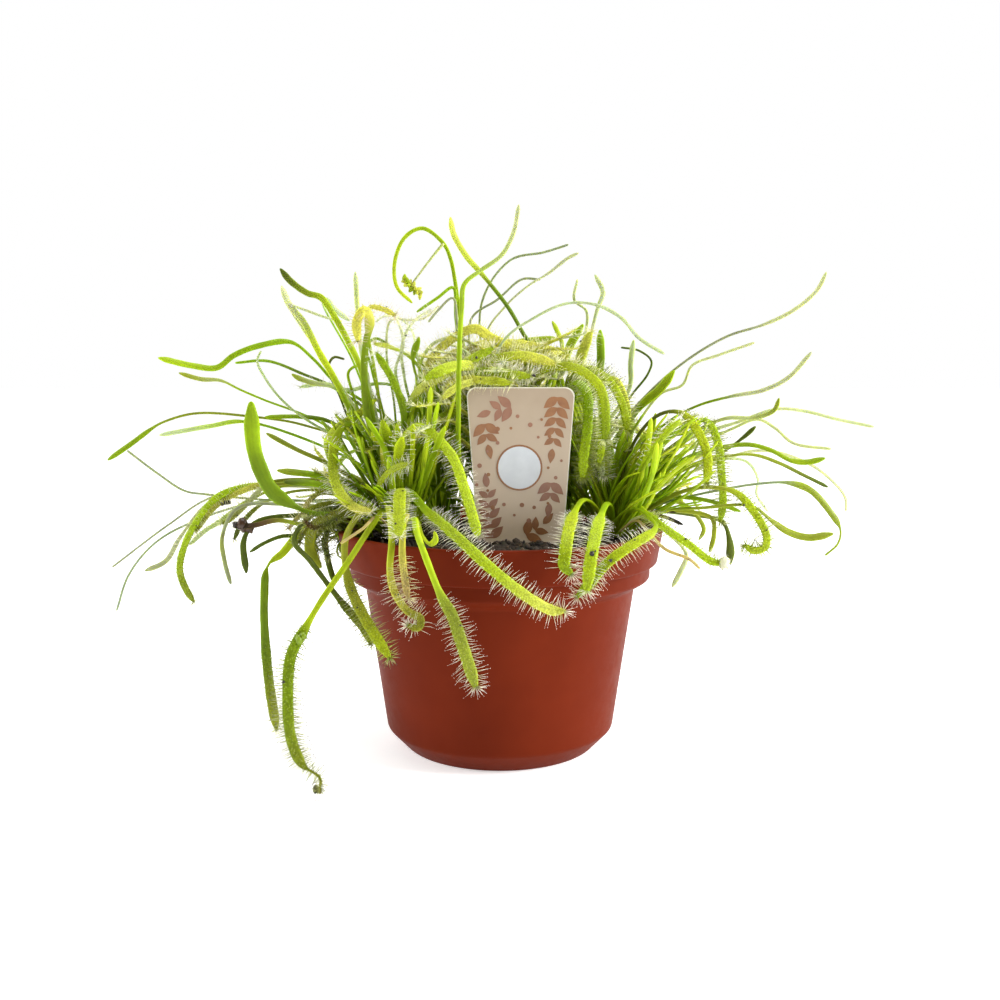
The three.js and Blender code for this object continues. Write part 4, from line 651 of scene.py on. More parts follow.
def centripetal(knots, fine):
    """Points of a centripetal Catmull-Rom curve, so many to a span."""
    knots = np.array(knots, float)
    guarded = np.vstack([2 * knots[0] - knots[1], knots, 2 * knots[-1] - knots[-2]])
    share = (np.arange(fine) / fine)[:, None]
    points = []
    for i in range(len(knots) - 1):
        p0, p1, p2, p3 = guarded[i : i + 4]
        d0, d1, d2 = (math.sqrt(np.linalg.norm(b - a)) for a, b in ((p0, p1), (p1, p2), (p2, p3)))
        t1 = ((p1 - p0) / d0 - (p2 - p0) / (d0 + d1) + (p2 - p1) / d1) * d1
        t2 = ((p2 - p1) / d1 - (p3 - p1) / (d1 + d2) + (p3 - p2) / d2) * d1
        cubic = 2 * p1 - 2 * p2 + t1 + t2
        square = 3 * p2 - 3 * p1 - 2 * t1 - t2
        points.append(p1 + t1 * share + square * share**2 + cubic * share**3)
    return np.vstack([*points, knots[-1:]])


def trace(leaf, crown):
    """Evenly spaced points along a leaf, and where on them its blade begins."""
    at = np.array(crown["at"], float)
    first = leaf["points"][0]
    reach = math.hypot(*(first[:2] - at)) or 1
    start = np.append(at + (first[:2] - at) / reach * LEAF_START["from_axis"], LEAF_START["height"])
    root = leaf.get("root")
    knots = [start if root is None else root, *leaf["points"]]
    fine = 24
    dense = centripetal(knots, fine)
    lengths = np.append(0, np.cumsum(np.linalg.norm(np.diff(dense, axis=0), axis=1)))
    total = lengths[-1]
    count = round(total / GRAIN)
    want = total * np.arange(count + 1) / count
    points = np.column_stack([np.interp(want, lengths, dense[:, i]) for i in range(3)])
    leaf["line"] = points
    leaf["count"] = count
    leaf["blade_start"] = lengths[leaf["from"] * fine] / total * count
    leaf["tone_start"] = lengths[leaf.get("tone_from", leaf["from"]) * fine]
    leaf["neck_at"] = lengths[leaf["neck"] * fine] if "neck" in leaf else -total


def widths_of(leaf):
    i = np.arange(leaf["count"] + 1)
    along = i * GRAIN
    left = np.maximum(0, (leaf["count"] - i) * GRAIN - leaf.get("tail", 0))
    spread = ramp(along - (leaf["blade_start"] * GRAIN - 3), 0, 7)
    body = leaf["petiole"] + (leaf["blade"] - leaf["petiole"]) * spread
    base = leaf["petiole"] * 0.35 * np.maximum(0, 1 - along / 8)
    tip = np.clip(np.sqrt(left / (TIP["length"] * leaf["blade"])), 0 if "tail" in leaf else TIP["blunt"], 1)
    pinch = 1 - NECK["share"] * np.exp(-(((along - leaf["neck_at"]) / NECK["reach"]) ** 2))
    return np.maximum(THINNEST, (body + base) * tip * pinch)


def frames_of(leaf):
    """Directions along the leaf, out of its face, and across it, carried along without twist."""
    line, count = leaf["line"], leaf["count"]
    i = np.arange(count + 1)
    along = unit(line[np.minimum(count, i + 1)] - line[np.maximum(0, i - 1)])
    known = 0 if leaf["face_at_base"] else round((leaf["blade_start"] + count) / 2)
    faces = np.zeros_like(line)

    def flatten(face, k):
        face = face - along[k] * face.dot(along[k])
        return face / np.linalg.norm(face)

    faces[known] = flatten(leaf["face"], known)
    for k in range(known + 1, count + 1):
        faces[k] = flatten(faces[k - 1], k)
    for k in range(known - 1, -1, -1):
        faces[k] = flatten(faces[k + 1], k)
    return along, faces, np.cross(faces, along)


def prepare(leaf, crown):
    leaf["crown"] = crown["name"]
    leaf.setdefault("face_at_base", False)
    trace(leaf, crown)
    leaf["widths"] = widths_of(leaf)
    leaf["along"], leaf["faces"], leaf["across"] = frames_of(leaf)
    return leaf


def drawn_leaf(leaf, crown):
    points = [place(route_point) for route_point in leaf["route"]]
    return prepare({**leaf, "points": points, "face": FRONT_FACE}, crown)


def random_stream(seed):
    """A repeatable stream of numbers from 0 to 1, the same as the part's."""
    state = seed
    while True:
        state = state * 16807 % 2147483647
        yield state / 2147483647


YOUNG_TONES = {
    "hairy": ("green lime lime", "green yellow lime", "deep green lime", "green lime yellow", "olive green lime"),
    "bare": ("green green lime", "green lime lime", "deep green green", "green lime yellow", "olive green lime"),
    "fine": ("green lime lime", "green green lime", "lime green green", "green lime lime"),
    "wispy": ("green yellow yellow", "green yellow pale", "olive pale yellow", "green lime olive"),
    "fringed": ("green yellow yellow", "lime yellow pale", "green lime yellow"),
    "withered": ("olive dark brown", "dark olive olive", "olive brown black", "green olive dark"),
}
YOUNG_HAIRS = {"hairy": "pale", "wispy": "rust", "fringed": "rust", "withered": "dusk"}


def young_leaf(crown, tuft, k, stream):
    turn = k * GOLDEN_ANGLE / 360 % 1
    bearing = math.radians(between(tuft["bearing"], (turn + 0.15 * next(stream)) % 1))
    rise = math.radians(between(tuft["rise"], next(stream)))
    end = math.radians(between(tuft["end"], next(stream)))
    length = between(tuft["length"], next(stream))
    sway = 0.5 * (next(stream) - 0.5)
    petiole = between(YOUNG[tuft["kind"]]["petiole"], next(stream))
    blade = between(YOUNG[tuft["kind"]]["blade"], next(stream))
    steps = 8
    point = np.array([*crown["at"], LEAF_START["height"]], float)
    points = []
    for i in range(1, steps + 1):
        share = i / steps
        tilt = rise + (end - rise) * share ** tuft["bend"]
        heading = bearing + sway * share * share
        flat = math.cos(tilt)
        point = point + length / steps * np.array(
            [flat * math.cos(heading), flat * math.sin(heading), math.sin(tilt)]
        )
        if i % 2 == 0:
            points.append(point)
    start = round(YOUNG["blade_from"] * len(points))
    tones = YOUNG_TONES[tuft["kind"]]
    leaf = leaf_spec(tones[k % len(tones)], petiole, blade, start, None, YOUNG_HAIRS.get(tuft["kind"]))
    face = np.array([-math.cos(bearing), -math.sin(bearing), 0.2])
    return prepare({**leaf, "points": points, "face": face, "face_at_base": True}, crown)


def inside_bounds(point, top):
    across, up = seen(point)
    side = abs(across)
    if point[2] < BOUNDS["lowest"] or point[1] > BOUNDS["back"]:
        return False
    if side > BOUNDS["across"] or up > top:
        return False
    if up > BOUNDS["wide_up"] and side > BOUNDS["narrow"]:
        return False
    return up > BOUNDS["below_rim"] or side < BOUNDS["behind_pot"]


def clear_of_pot(point, half):
    radius = math.hypot(point[0], point[1])
    if point[2] > POT["height"] + CLEARANCE["rim"] + half or radius > POT["rim_radius"] + CLEARANCE["rim"] + half:
        return True
    return radius < INNER_RIM - CLEARANCE["inside_rim"] and point[2] > LEAF_START["height"]


def clear_of_label(point, half):
    margin = CLEARANCE["label"] + half
    aside = abs(point[0] - LABEL["centre"][0]) > LABEL["top_width"] / 2 + margin
    return aside or abs(point[1] - LABEL["centre"][1]) > margin or point[2] > LABEL["top"] + margin


def in_reach(leaf, top):
    """Whether a leaf keeps within the crowns' bounds and clear of the pot and the label."""
    for i in range(round(CLEARANCE["near_crown"] / GRAIN), leaf["count"] + 1, 3):
        point, half = leaf["line"][i], leaf["widths"][i] / 2
        if not (inside_bounds(point, top) and clear_of_pot(point, half) and clear_of_label(point, half)):
            return False
    return True


def fits(leaf, leaves):
    if not in_reach(leaf, BOUNDS["up"]):
        return False
    others = [other for other in leaves if other["crown"] != leaf["crown"]]
    spots = np.vstack([other["line"][::2] for other in others])
    halves = np.concatenate([other["widths"][::2] for other in others]) / 2
    for i in range(round(CLEARANCE["near_crown"] / GRAIN), leaf["count"] + 1, 3):
        point, half = leaf["line"][i], leaf["widths"][i] / 2
        if np.any(np.linalg.norm(spots - point, axis=1) < halves + half + CLEARANCE["leaf"]):
            return False
    return True


def grow_leaves():
    leaves = [drawn_leaf(leaf, crown) for crown in CROWNS for leaf in crown["leaves"]]
    for crown in CROWNS:
        stream = random_stream(crown["seed"])
        for tuft in crown["tufts"]:
            grown = k = 0
            while grown < tuft["count"] and k < tuft["count"] * YOUNG["tries"]:
                leaf = young_leaf(crown, tuft, k, stream)
                k += 1
                if fits(leaf, leaves):
                    leaves.append(leaf)
                    grown += 1
    return leaves


def grow_fill():
    leaves = []
    for crown in FILL:
        stream = random_stream(crown["seed"])
        for tuft in crown["tufts"]:
            grown = k = 0
            while grown < tuft["count"] and k < tuft["count"] * YOUNG["tries"]:
                shift = [crown["spread"] * (next(stream) - 0.5) for _ in range(2)]
                rooted = {**crown, "at": (crown["at"][0] + shift[0], crown["at"][1] + shift[1])}
                leaf = young_leaf(rooted, tuft, k, stream)
                k += 1
                if in_reach(leaf, crown["top"]):
                    leaves.append({**leaf, "fine": not leaf["hairs"]})
                    grown += 1
        leaves += [drawn_leaf(leaf, crown) for leaf in crown["leaves"]]
    return leaves


# ---------- materials ----------

# Linear colours of the leaves' tones.
TONES = {
    "lime": (0.37, 0.47, 0.012),
    "yellow": (0.58, 0.59, 0.08),
    "green": (0.225, 0.335, 0.004),
    "deep": (0.13, 0.205, 0.003),
    "olive": (0.25, 0.28, 0.02),
    "dark": (0.085, 0.11, 0.010),
    "pale": (0.48, 0.52, 0.28),
    "grey": (0.27, 0.30, 0.18),
    "tan": (0.46, 0.37, 0.14),
    "brown": (0.13, 0.07, 0.024),
    "umber": (0.055, 0.026, 0.010),
    "black": (0.02, 0.015, 0.01),
    "white": (0.82, 0.82, 0.58),
}


class Nodes:
    """Short names for building a material's nodes."""

    def __init__(self, name):
        self.material = bpy.data.materials.new(name)
        self.material.use_nodes = True
        self.tree = self.material.node_tree
        self.shader = self.tree.nodes["Principled BSDF"]

    def add(self, kind, **settings):
        node = self.tree.nodes.new(kind)
        for key, value in settings.items():
            setattr(node, key, value)
        return node

    def link(self, source, target):
        self.tree.links.new(source, target)

    def set(self, **values):
        for key, value in values.items():
            self.shader.inputs[key.replace("_", " ")].default_value = value

    def place(self):
        return self.add("ShaderNodeTexCoord").outputs["Object"]

    def attribute(self, name, output="Fac"):
        return self.add("ShaderNodeAttribute", attribute_name=name).outputs[output]

    def noise(self, scale_mm, detail=3, roughness=0.6, stretch=(1, 1, 1)):
        mapping = self.add("ShaderNodeMapping")
        mapping.inputs["Scale"].default_value = [s / (scale_mm * MM) for s in stretch]
        self.link(self.place(), mapping.inputs["Vector"])
        node = self.add("ShaderNodeTexNoise")
        node.inputs["Scale"].default_value = 1
        node.inputs["Detail"].default_value = detail
        node.inputs["Roughness"].default_value = roughness
        self.link(mapping.outputs["Vector"], node.inputs["Vector"])
        return node.outputs["Fac"]

    def cells(self, scale_mm, feature="F1"):
        mapping = self.add("ShaderNodeMapping")
        mapping.inputs["Scale"].default_value = [1 / (scale_mm * MM)] * 3
        self.link(self.place(), mapping.inputs["Vector"])
        node = self.add("ShaderNodeTexVoronoi", feature=feature)
        node.inputs["Scale"].default_value = 1
        self.link(mapping.outputs["Vector"], node.inputs["Vector"])
        return node.outputs["Distance"]

    def spread(self, value, low, high, to_low=0.0, to_high=1.0):
        node = self.add("ShaderNodeMapRange")
        for key, number in zip(("From Min", "From Max", "To Min", "To Max"), (low, high, to_low, to_high)):
            node.inputs[key].default_value = number
        self.link(value, node.inputs["Value"])
        return node.outputs["Result"]

    def maths(self, operation, a, b):
        node = self.add("ShaderNodeMath", operation=operation)
        for slot, value in enumerate((a, b)):
            if isinstance(value, (int, float)):
                node.inputs[slot].default_value = value
            else:
                self.link(value, node.inputs[slot])
        return node.outputs[0]

    def mix(self, share, a, b, blend="MIX"):
        node = self.add("ShaderNodeMix", data_type="RGBA", blend_type=blend)
        for slot, value in (("Factor", share), ("A", a), ("B", b)):
            index = {"Factor": 0, "A": 6, "B": 7}[slot]
            if isinstance(value, (int, float)):
                node.inputs[index].default_value = value
            elif isinstance(value, tuple):
                node.inputs[index].default_value = (*value, 1)
            else:
                self.link(value, node.inputs[index])
        return node.outputs[2]

    def bump(self, height, depth_mm, strength=1.0):
        node = self.add("ShaderNodeBump")
        node.inputs["Distance"].default_value = depth_mm * MM
        node.inputs["Strength"].default_value = strength
        self.link(height, node.inputs["Height"])
        self.link(node.outputs["Normal"], self.shader.inputs["Normal"])

    def colour(self, source):
        self.link(source, self.shader.inputs["Base Color"])

    def rough(self, source):
        self.link(source, self.shader.inputs["Roughness"])


def leaf_material():
    n = Nodes("leaf")
    tint = n.attribute("tint", "Color")
    blade = n.attribute("blade")
    rim = n.attribute("rim")
    mottle = n.spread(n.noise(2.4, 4), 0.3, 0.75, 0.86, 1.1)
    grains = n.spread(n.cells(0.42), 0.1, 0.75, 1.25, 0.68)
    grains = n.maths("ADD", 1, n.maths("MULTIPLY", n.maths("SUBTRACT", grains, 1), blade))
    edge = n.spread(rim, 0.55, 1.0, 1.0, 1.22)
    rib = n.spread(rim, 0.0, 0.2, 0.9, 1.0)
    shade = n.maths("MULTIPLY", n.maths("MULTIPLY", mottle, grains), n.maths("MULTIPLY", edge, rib))
    grey = n.add("ShaderNodeCombineColor")
    for key in ("Red", "Green", "Blue"):
        n.link(shade, grey.inputs[key])
    n.colour(n.mix(1.0, tint, grey.outputs["Color"], "MULTIPLY"))
    n.rough(n.spread(n.noise(2.5), 0.3, 0.7, 0.36, 0.55))
    n.set(Subsurface_Weight=0.4, Subsurface_Scale=0.0012, Specular_IOR_Level=0.12)
    n.shader.inputs["Subsurface Radius"].default_value = (0.8, 1.0, 0.08)
    relief = n.maths("ADD", n.maths("MULTIPLY", n.cells(0.42), 0.7), n.maths("MULTIPLY", n.noise(0.9, 2), 0.5))
    n.bump(n.maths("MULTIPLY", relief, blade), 0.06, 0.45)
    return n.material


def tentacle_material():
    n = Nodes("tentacle")
    n.colour(n.attribute("tint", "Color"))
    n.set(Roughness=0.3, Specular_IOR_Level=0.4, Subsurface_Weight=0.4, Subsurface_Scale=0.0005)
    n.shader.inputs["Subsurface Radius"].default_value = (1.0, 0.9, 0.7)
    return n.material


def pot_material():
    n = Nodes("pot_plastic")
    broad = n.spread(n.noise(22, 3), 0.3, 0.7)
    base = n.mix(broad, (0.112, 0.0125, 0.0028), (0.140, 0.0165, 0.004))
    scuff = n.spread(n.noise(1.1, 6, 0.75, (1, 1, 0.35)), 0.70, 0.78, 0.0, 0.35)
    base = n.mix(scuff, base, (0.36, 0.12, 0.06))
    dust = n.spread(n.noise(0.5, 2), 0.77, 0.82, 0.0, 0.5)
    n.colour(n.mix(dust, base, (0.07, 0.03, 0.02)))
    n.rough(n.spread(n.noise(3, 5, 0.7), 0.3, 0.7, 0.42, 0.56))
    n.set(Specular_IOR_Level=0.035)
    n.bump(n.maths("ADD", n.noise(0.5, 3), n.maths("MULTIPLY", n.noise(7, 2), 2)), 0.03, 0.5)
    return n.material


def peat_material():
    n = Nodes("peat")
    clods = n.spread(n.noise(2.2, 6, 0.7), 0.3, 0.72)
    base = n.mix(clods, (0.010, 0.007, 0.005), (0.055, 0.034, 0.020))
    moss = n.spread(n.noise(9, 4, 0.6), 0.56, 0.68, 0.0, 0.55)
    n.colour(n.mix(moss, base, (0.045, 0.060, 0.012)))
    n.rough(n.spread(n.noise(1.3), 0.3, 0.7, 0.75, 0.98))
    n.bump(n.noise(0.7, 7, 0.75), 0.5, 0.9)
    return n.material


def crumb_material():
    n = Nodes("peat_crumb")
    tint = n.attribute("tint", "Color")
    n.colour(n.mix(n.spread(n.noise(0.8, 5), 0.3, 0.7, 0, 0.6), tint, (0.012, 0.008, 0.005)))
    n.set(Roughness=0.9)
    n.bump(n.noise(0.35, 4, 0.7), 0.15, 0.8)
    return n.material


def card_material():
    n = Nodes("label_card")
    split = n.add("ShaderNodeSeparateXYZ")
    n.link(n.place(), split.inputs[0])
    height = n.spread(split.outputs["Z"], LABEL["shoulder"] * MM, LABEL["top"] * MM)
    side = n.spread(split.outputs["X"], (LABEL["centre"][0] - 14) * MM, (LABEL["centre"][0] + 14) * MM)
    cloud = n.spread(n.noise(14, 3), 0.3, 0.7)
    # The lower card is painted lighter: painted light that makes up for the shade of the leaves hanging over it. It
    # also turns lighter to the right, and to a darker tan towards the top.
    low = n.mix(side, (0.70, 0.55, 0.40), (0.80, 0.65, 0.49))
    base = n.mix(height, low, (0.35, 0.265, 0.18))
    base = n.mix(n.maths("MULTIPLY", cloud, 0.4), base, (0.52, 0.42, 0.30))
    n.colour(base)
    n.rough(n.spread(n.noise(4), 0.3, 0.7, 0.32, 0.42))
    n.set(Coat_Weight=0.3, Coat_Roughness=0.2)
    n.bump(n.noise(0.4, 3), 0.01, 0.4)
    return n.material


def ink_material(name, dark, light, scale_mm):
    n = Nodes(name)
    n.colour(n.mix(n.spread(n.noise(scale_mm, 4), 0.3, 0.7), dark, light))
    n.rough(n.spread(n.noise(3), 0.3, 0.7, 0.34, 0.44))
    n.set(Coat_Weight=0.3, Coat_Roughness=0.2)
    n.bump(n.noise(0.3, 3), 0.008, 0.4)
    return n.material


# ---------- pot ----------


def rounded(profile, radius, steps=5):
    """The profile with each inner corner turned into a small arc-like bend."""
    points = [np.array(profile[0], float)]
    for before, corner, after in zip(profile, profile[1:], profile[2:]):
        before, corner, after = (np.array(p, float) for p in (before, corner, after))
        reach = min(radius, np.linalg.norm(before - corner) / 2, np.linalg.norm(after - corner) / 2)
        start = corner + (before - corner) / np.linalg.norm(before - corner) * reach
        end = corner + (after - corner) / np.linalg.norm(after - corner) * reach
        for i in range(steps + 1):
            t = i / steps
            points.append((1 - t) ** 2 * start + 2 * t * (1 - t) * corner + t * t * end)
    points.append(np.array(profile[-1], float))
    return points


def lathe(profile, sides):
    """A closed surface of revolution whose profile starts and ends on the axis."""
    ring = np.linspace(0, 2 * math.pi, sides, endpoint=False)
    inner = np.array(profile[1:-1])
    points = np.stack(
        [inner[:, :1] * np.cos(ring), inner[:, :1] * np.sin(ring), np.repeat(inner[:, 1:], sides, 1)], -1
    ).reshape(-1, 3)
    triangles = grid_triangles(len(inner), sides, True)
    low, high = len(points), len(points) + 1
    around = np.arange(sides)
    after = (around + 1) % sides
    top = (len(inner) - 1) * sides
    start_fan = np.column_stack([np.full(sides, low), after, around])
    end_fan = np.column_stack([np.full(sides, high), top + around, top + after])
    points = np.vstack([points, [[0, 0, profile[0][1]], [0, 0, profile[-1][1]]]])
    return points, np.vstack([triangles, start_fan, end_fan])


def add_pot():
    wall = POT["wall"]
    rim = POT["rim_radius"]
    profile = [
        (0, 0),
        (POT["foot_radius"] + 0.4, 0),
        (POT["body_bottom_radius"], POT["body_bottom"] - 0.4),
        (POT["body_top_radius"], POT["body_top"]),
        (POT["neck_radius"], POT["neck_bottom"]),
        (POT["neck_radius"], POT["band_bottom"]),
        (POT["band_radius"], POT["band_bottom"]),
        (rim, POT["height"]),
        (INNER_RIM, POT["height"]),
        (POT["neck_radius"] - wall, POT["neck_bottom"] + wall),
        (POT["body_top_radius"] - wall, POT["body_top"]),
        (POT["body_bottom_radius"] - wall, POT["body_bottom"] + wall),
        (POT["foot_radius"] - 0.6, wall),
        (0, wall),
    ]
    points, triangles = lathe(rounded(profile, 0.75), 144)
    pot = add_mesh("nursery_pot", points, triangles, [pot_material()])
    cutter = None
    for i in range(DRAIN["count"]):
        angle = (i + 0.5) / DRAIN["count"] * 2 * math.pi
        bpy.ops.mesh.primitive_cylinder_add(
            vertices=40,
            radius=DRAIN["radius"] * MM,
            depth=6 * MM,
            location=(DRAIN["from_axis"] * MM * math.cos(angle), DRAIN["from_axis"] * MM * math.sin(angle), 0),
        )
        cutter = bpy.context.object
        modifier = pot.modifiers.new("drain", "BOOLEAN")
        modifier.object = cutter
        modifier.operation = "DIFFERENCE"
        bpy.context.view_layer.objects.active = pot
        bpy.ops.object.modifier_apply(modifier="drain")
        bpy.data.objects.remove(cutter)
    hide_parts("pot")
    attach(pot, "root")


# ---------- peat ----------


def peat_height(x, y):
    """The part's low mound with its lumps, and fine relief over it."""
    spread = (x * x + y * y) / INNER_RIM**2
    lumps = np.sin(0.55 * x + 1.3) * np.cos(0.47 * y) + 0.6 * np.sin(0.31 * x - 0.66 * y + 2)
    coarse = SOIL["mound"] * (1 - spread) + SOIL["lump"] * lumps * (1 - 0.6 * spread)
    fine = 0.55 * waves(x, y, 0.9, 5) + 0.35 * waves(x, y, 2.6, 6)
    return SOIL["edge_height"] + coarse + 0.45 + fine


def ball(rings, sides):
    """A unit ball of a few faces: points and triangles."""
    tilt = np.linspace(0, math.pi, rings + 1)
    profile = [(math.sin(t), -math.cos(t)) for t in tilt]
    return lathe(profile, sides)


def add_peat(soil_material):
    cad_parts["soil"].data.materials.clear()
    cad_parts["soil"].data.materials.append(soil_material)
    edge = INNER_RIM - 1.45
    rings, sides = 64, 180
    radii = edge * np.sqrt(np.linspace(0.0002, 1, rings))
    ring = np.linspace(0, 2 * math.pi, sides, endpoint=False)
    x = (radii[:, None] * np.cos(ring)).ravel()
    y = (radii[:, None] * np.sin(ring)).ravel()
    top = np.column_stack([x, y, peat_height(x, y)])
    skirt = np.column_stack([x[-sides:], y[-sides:], np.full(sides, SOIL["edge_height"] - 0.9)])
    base = np.array([[0, 0, SOIL["edge_height"] - 0.9], [0, 0, top[:sides, 2].mean()]])
    points = np.vstack([top, skirt, base])
    triangles = [grid_triangles(rings + 1, sides, True)]
    around, last = np.arange(sides), rings * sides
    after = (around + 1) % sides
    centre = np.full(sides, len(points) - 1)
    triangles.append(np.column_stack([centre, around, after]))
    triangles.append(np.column_stack([centre - 1, last + after, last + around]))
    bed = add_mesh("peat_surface", points, np.vstack(triangles)[:, ::-1], [soil_material])
    flip_if_inward(bed)
    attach(bed, "root")
    add_crumbs(edge)


def flip_if_inward(piece):
    """Turns a closed mesh's faces outwards if its volume comes out negative."""
    mesh = piece.data
    mesh.calc_loop_triangles()
    co = np.zeros(len(mesh.vertices) * 3)
    mesh.vertices.foreach_get("co", co)
    co = co.reshape(-1, 3)
    corners = np.zeros(len(mesh.loop_triangles) * 3, np.int32)
    mesh.loop_triangles.foreach_get("vertices", corners)
    a, b, c = (co[corners.reshape(-1, 3)[:, i]] for i in range(3))
    if np.einsum("ij,ij->i", a, np.cross(b, c)).sum() < 0:
        mesh.flip_normals()


CRUMB_TONES = [(0.035, 0.022, 0.014), (0.060, 0.038, 0.022), (0.020, 0.014, 0.010), (0.11, 0.070, 0.040)]


def add_crumbs(edge):
    draw = np.random.default_rng(71)
    ball_points, ball_triangles = ball(3, 6)
    parts = Parts()
    for i in range(1500):
        radius = edge * math.sqrt(draw.uniform(0, 0.985))
        angle = draw.uniform(0, 2 * math.pi)
        size = draw.uniform(0.22, 0.7) if i % 6 else draw.uniform(0.65, 1.1)
        stretch = draw.uniform(0.6, 1.3, 3) * size
        turn = draw.uniform(0, 2 * math.pi)
        lump = ball_points * (1 + 0.25 * draw.standard_normal((len(ball_points), 1)) * 0.7)
        lump = lump * stretch
        c, s = math.cos(turn), math.sin(turn)
        lump = lump @ np.array([[c, -s, 0], [s, c, 0], [0, 0, 1]])
        x, y = radius * math.cos(angle), radius * math.sin(angle)
        x, y = x * (1 - size / edge), y * (1 - size / edge)
        z = float(peat_height(np.array(x), np.array(y))) + size * 0.25
        tone = np.array(CRUMB_TONES[draw.integers(len(CRUMB_TONES))]) * draw.uniform(0.7, 1.3)
        parts.add(lump + (x, y, z), ball_triangles, tint=np.tile(tone, (len(lump), 1)))
    for _ in range(260):
        radius = (edge - 4) * math.sqrt(draw.uniform(0, 1))
        angle, heading = draw.uniform(0, 2 * math.pi, 2)
        length, width = draw.uniform(2, 7), draw.uniform(0.1, 0.24)
        steps = np.linspace(-0.5, 0.5, 6)
        bend = draw.uniform(-0.25, 0.25)
        x = radius * math.cos(angle) + length * (steps * math.cos(heading) - bend * steps**2 * math.sin(heading))
        y = radius * math.sin(angle) + length * (steps * math.sin(heading) + bend * steps**2 * math.cos(heading))
        keep = min(1, (edge - 0.6) / max(np.hypot(x, y)))
        x, y = x * keep, y * keep
        line = np.column_stack([x, y, peat_height(x, y) + width + draw.uniform(0, 0.5)])
        points, triangles = rod(line, np.full(6, width), 4)
        tone = np.array(CRUMB_TONES[draw.integers(4)]) * draw.uniform(0.8, 2.2)
        parts.add(points, triangles, tint=np.tile(tone, (len(points), 1)))
    crumbs = parts.piece("peat_crumbs", [crumb_material()])
    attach(crumbs, "root")


def rod(line, radii, sides):
    """A closed round rod along a line."""
    count = len(line)
    i = np.arange(count)
    along = unit(line[np.minimum(count - 1, i + 1)] - line[np.maximum(0, i - 1)])
    helper = np.where(np.abs(along[:, 2:]) > 0.9, [[1.0, 0, 0]], [[0, 0, 1.0]])
    a = unit(np.cross(helper, along))
    b = np.cross(along, a)
    ring = np.linspace(0, 2 * math.pi, sides, endpoint=False)
    offsets = a[:, None] * np.cos(ring)[None, :, None] + b[:, None] * np.sin(ring)[None, :, None]
    points = (line[:, None] + offsets * radii[:, None, None]).reshape(-1, 3)
    return cap_tube(points, count, sides, line[0], line[-1])


def cap_tube(points, rings, sides, first, last):
    around = np.arange(sides)
    after = (around + 1) % sides
    n, end = len(points), (rings - 1) * sides
    triangles = np.vstack([
        grid_triangles(rings, sides, True),
        np.column_stack([np.full(sides, n), after, around]),
        np.column_stack([np.full(sides, n + 1), end + around, end + after]),
    ])
    return np.vstack([points, [first, last]]), triangles


# ---------- label ----------


def label_outline(inset=0.0, arc=10):
    """The label's outline as (across, up) points, counter-clockwise as seen from the front."""
    half = lambda width: width / 2 - inset
    corner, top, r = half(LABEL["top_width"]), LABEL["top"] - inset, LABEL["corner_radius"]
    right = [
        (half(LABEL["tip_width"]), LABEL["tip"] + inset),
        (half(LABEL["stake_width"]), LABEL["stake_top"]),
        (half(LABEL["shoulder_width"]), LABEL["shoulder"]),
    ]
    turn = [math.radians(90 * i / arc) for i in range(arc + 1)]
    right += [(corner - r + r * math.cos(t), top - r + r * math.sin(t)) for t in turn]
    return right + [(-x, z) for x, z in reversed(right)]


def plate(outline, front, back):
    """A flat closed plate between two depths, from an outline of (across, up) points round the label's centre."""
    count = len(outline)
    across, up = np.array(outline).T
    middle = [across.mean(), (up.max() + up.min()) / 2]
    sides = [np.column_stack([across, np.full(count, depth), up]) for depth in (front, back)]
    centres = np.array([[middle[0], front, middle[1]], [middle[0], back, middle[1]]])
    points = np.vstack([*sides, centres]) + (LABEL["centre"][0], LABEL["centre"][1], 0)
    around = np.arange(count)
    after = (around + 1) % count
    triangles = np.vstack([
        np.column_stack([np.full(count, 2 * count), around, after]),
        np.column_stack([np.full(count, 2 * count + 1), after + count, around + count]),
        np.column_stack([around, around + count, after + count]),
        np.column_stack([around, after + count, after]),
    ])
    return points, triangles


def add_label():
    half = LABEL["thickness"] / 2
    parts = Parts()
    parts.add(*plate(label_outline(), -half + 0.06, half), slot=1)
    parts.add(*plate(label_outline(0.28), -half, half - 0.2), slot=0)
    edge = ink_material("label_edge", (0.70, 0.66, 0.52), (0.80, 0.77, 0.64), 3)
    card = parts.piece("label_card", [card_material(), edge], smooth=False)
    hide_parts("plant_label")
    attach(card, "root")
    add_label_print(-half)


def leaflet(x, z, length, width, angle, steps=8):
    """A pointed oval outline that starts at (x, z) and points along an angle."""
    share = np.linspace(0, 1, steps + 1)
    side = width / 2 * np.sin(math.pi * share**0.8)
    along = share * length
    right = np.column_stack([along, side])
    left = np.column_stack([along[1:-1], -side[1:-1]])[::-1]
    shape = np.vstack([right[::-1], left[::-1]])
    c, s = math.cos(angle), math.sin(angle)
    return [(x + c * u - s * v, z + s * u + c * v) for u, v in shape]


def disc(x, z, radius, steps=40):
    turn = np.linspace(0, 2 * math.pi, steps, endpoint=False)
    return [(x + radius * math.cos(t), z + radius * math.sin(t)) for t in turn]


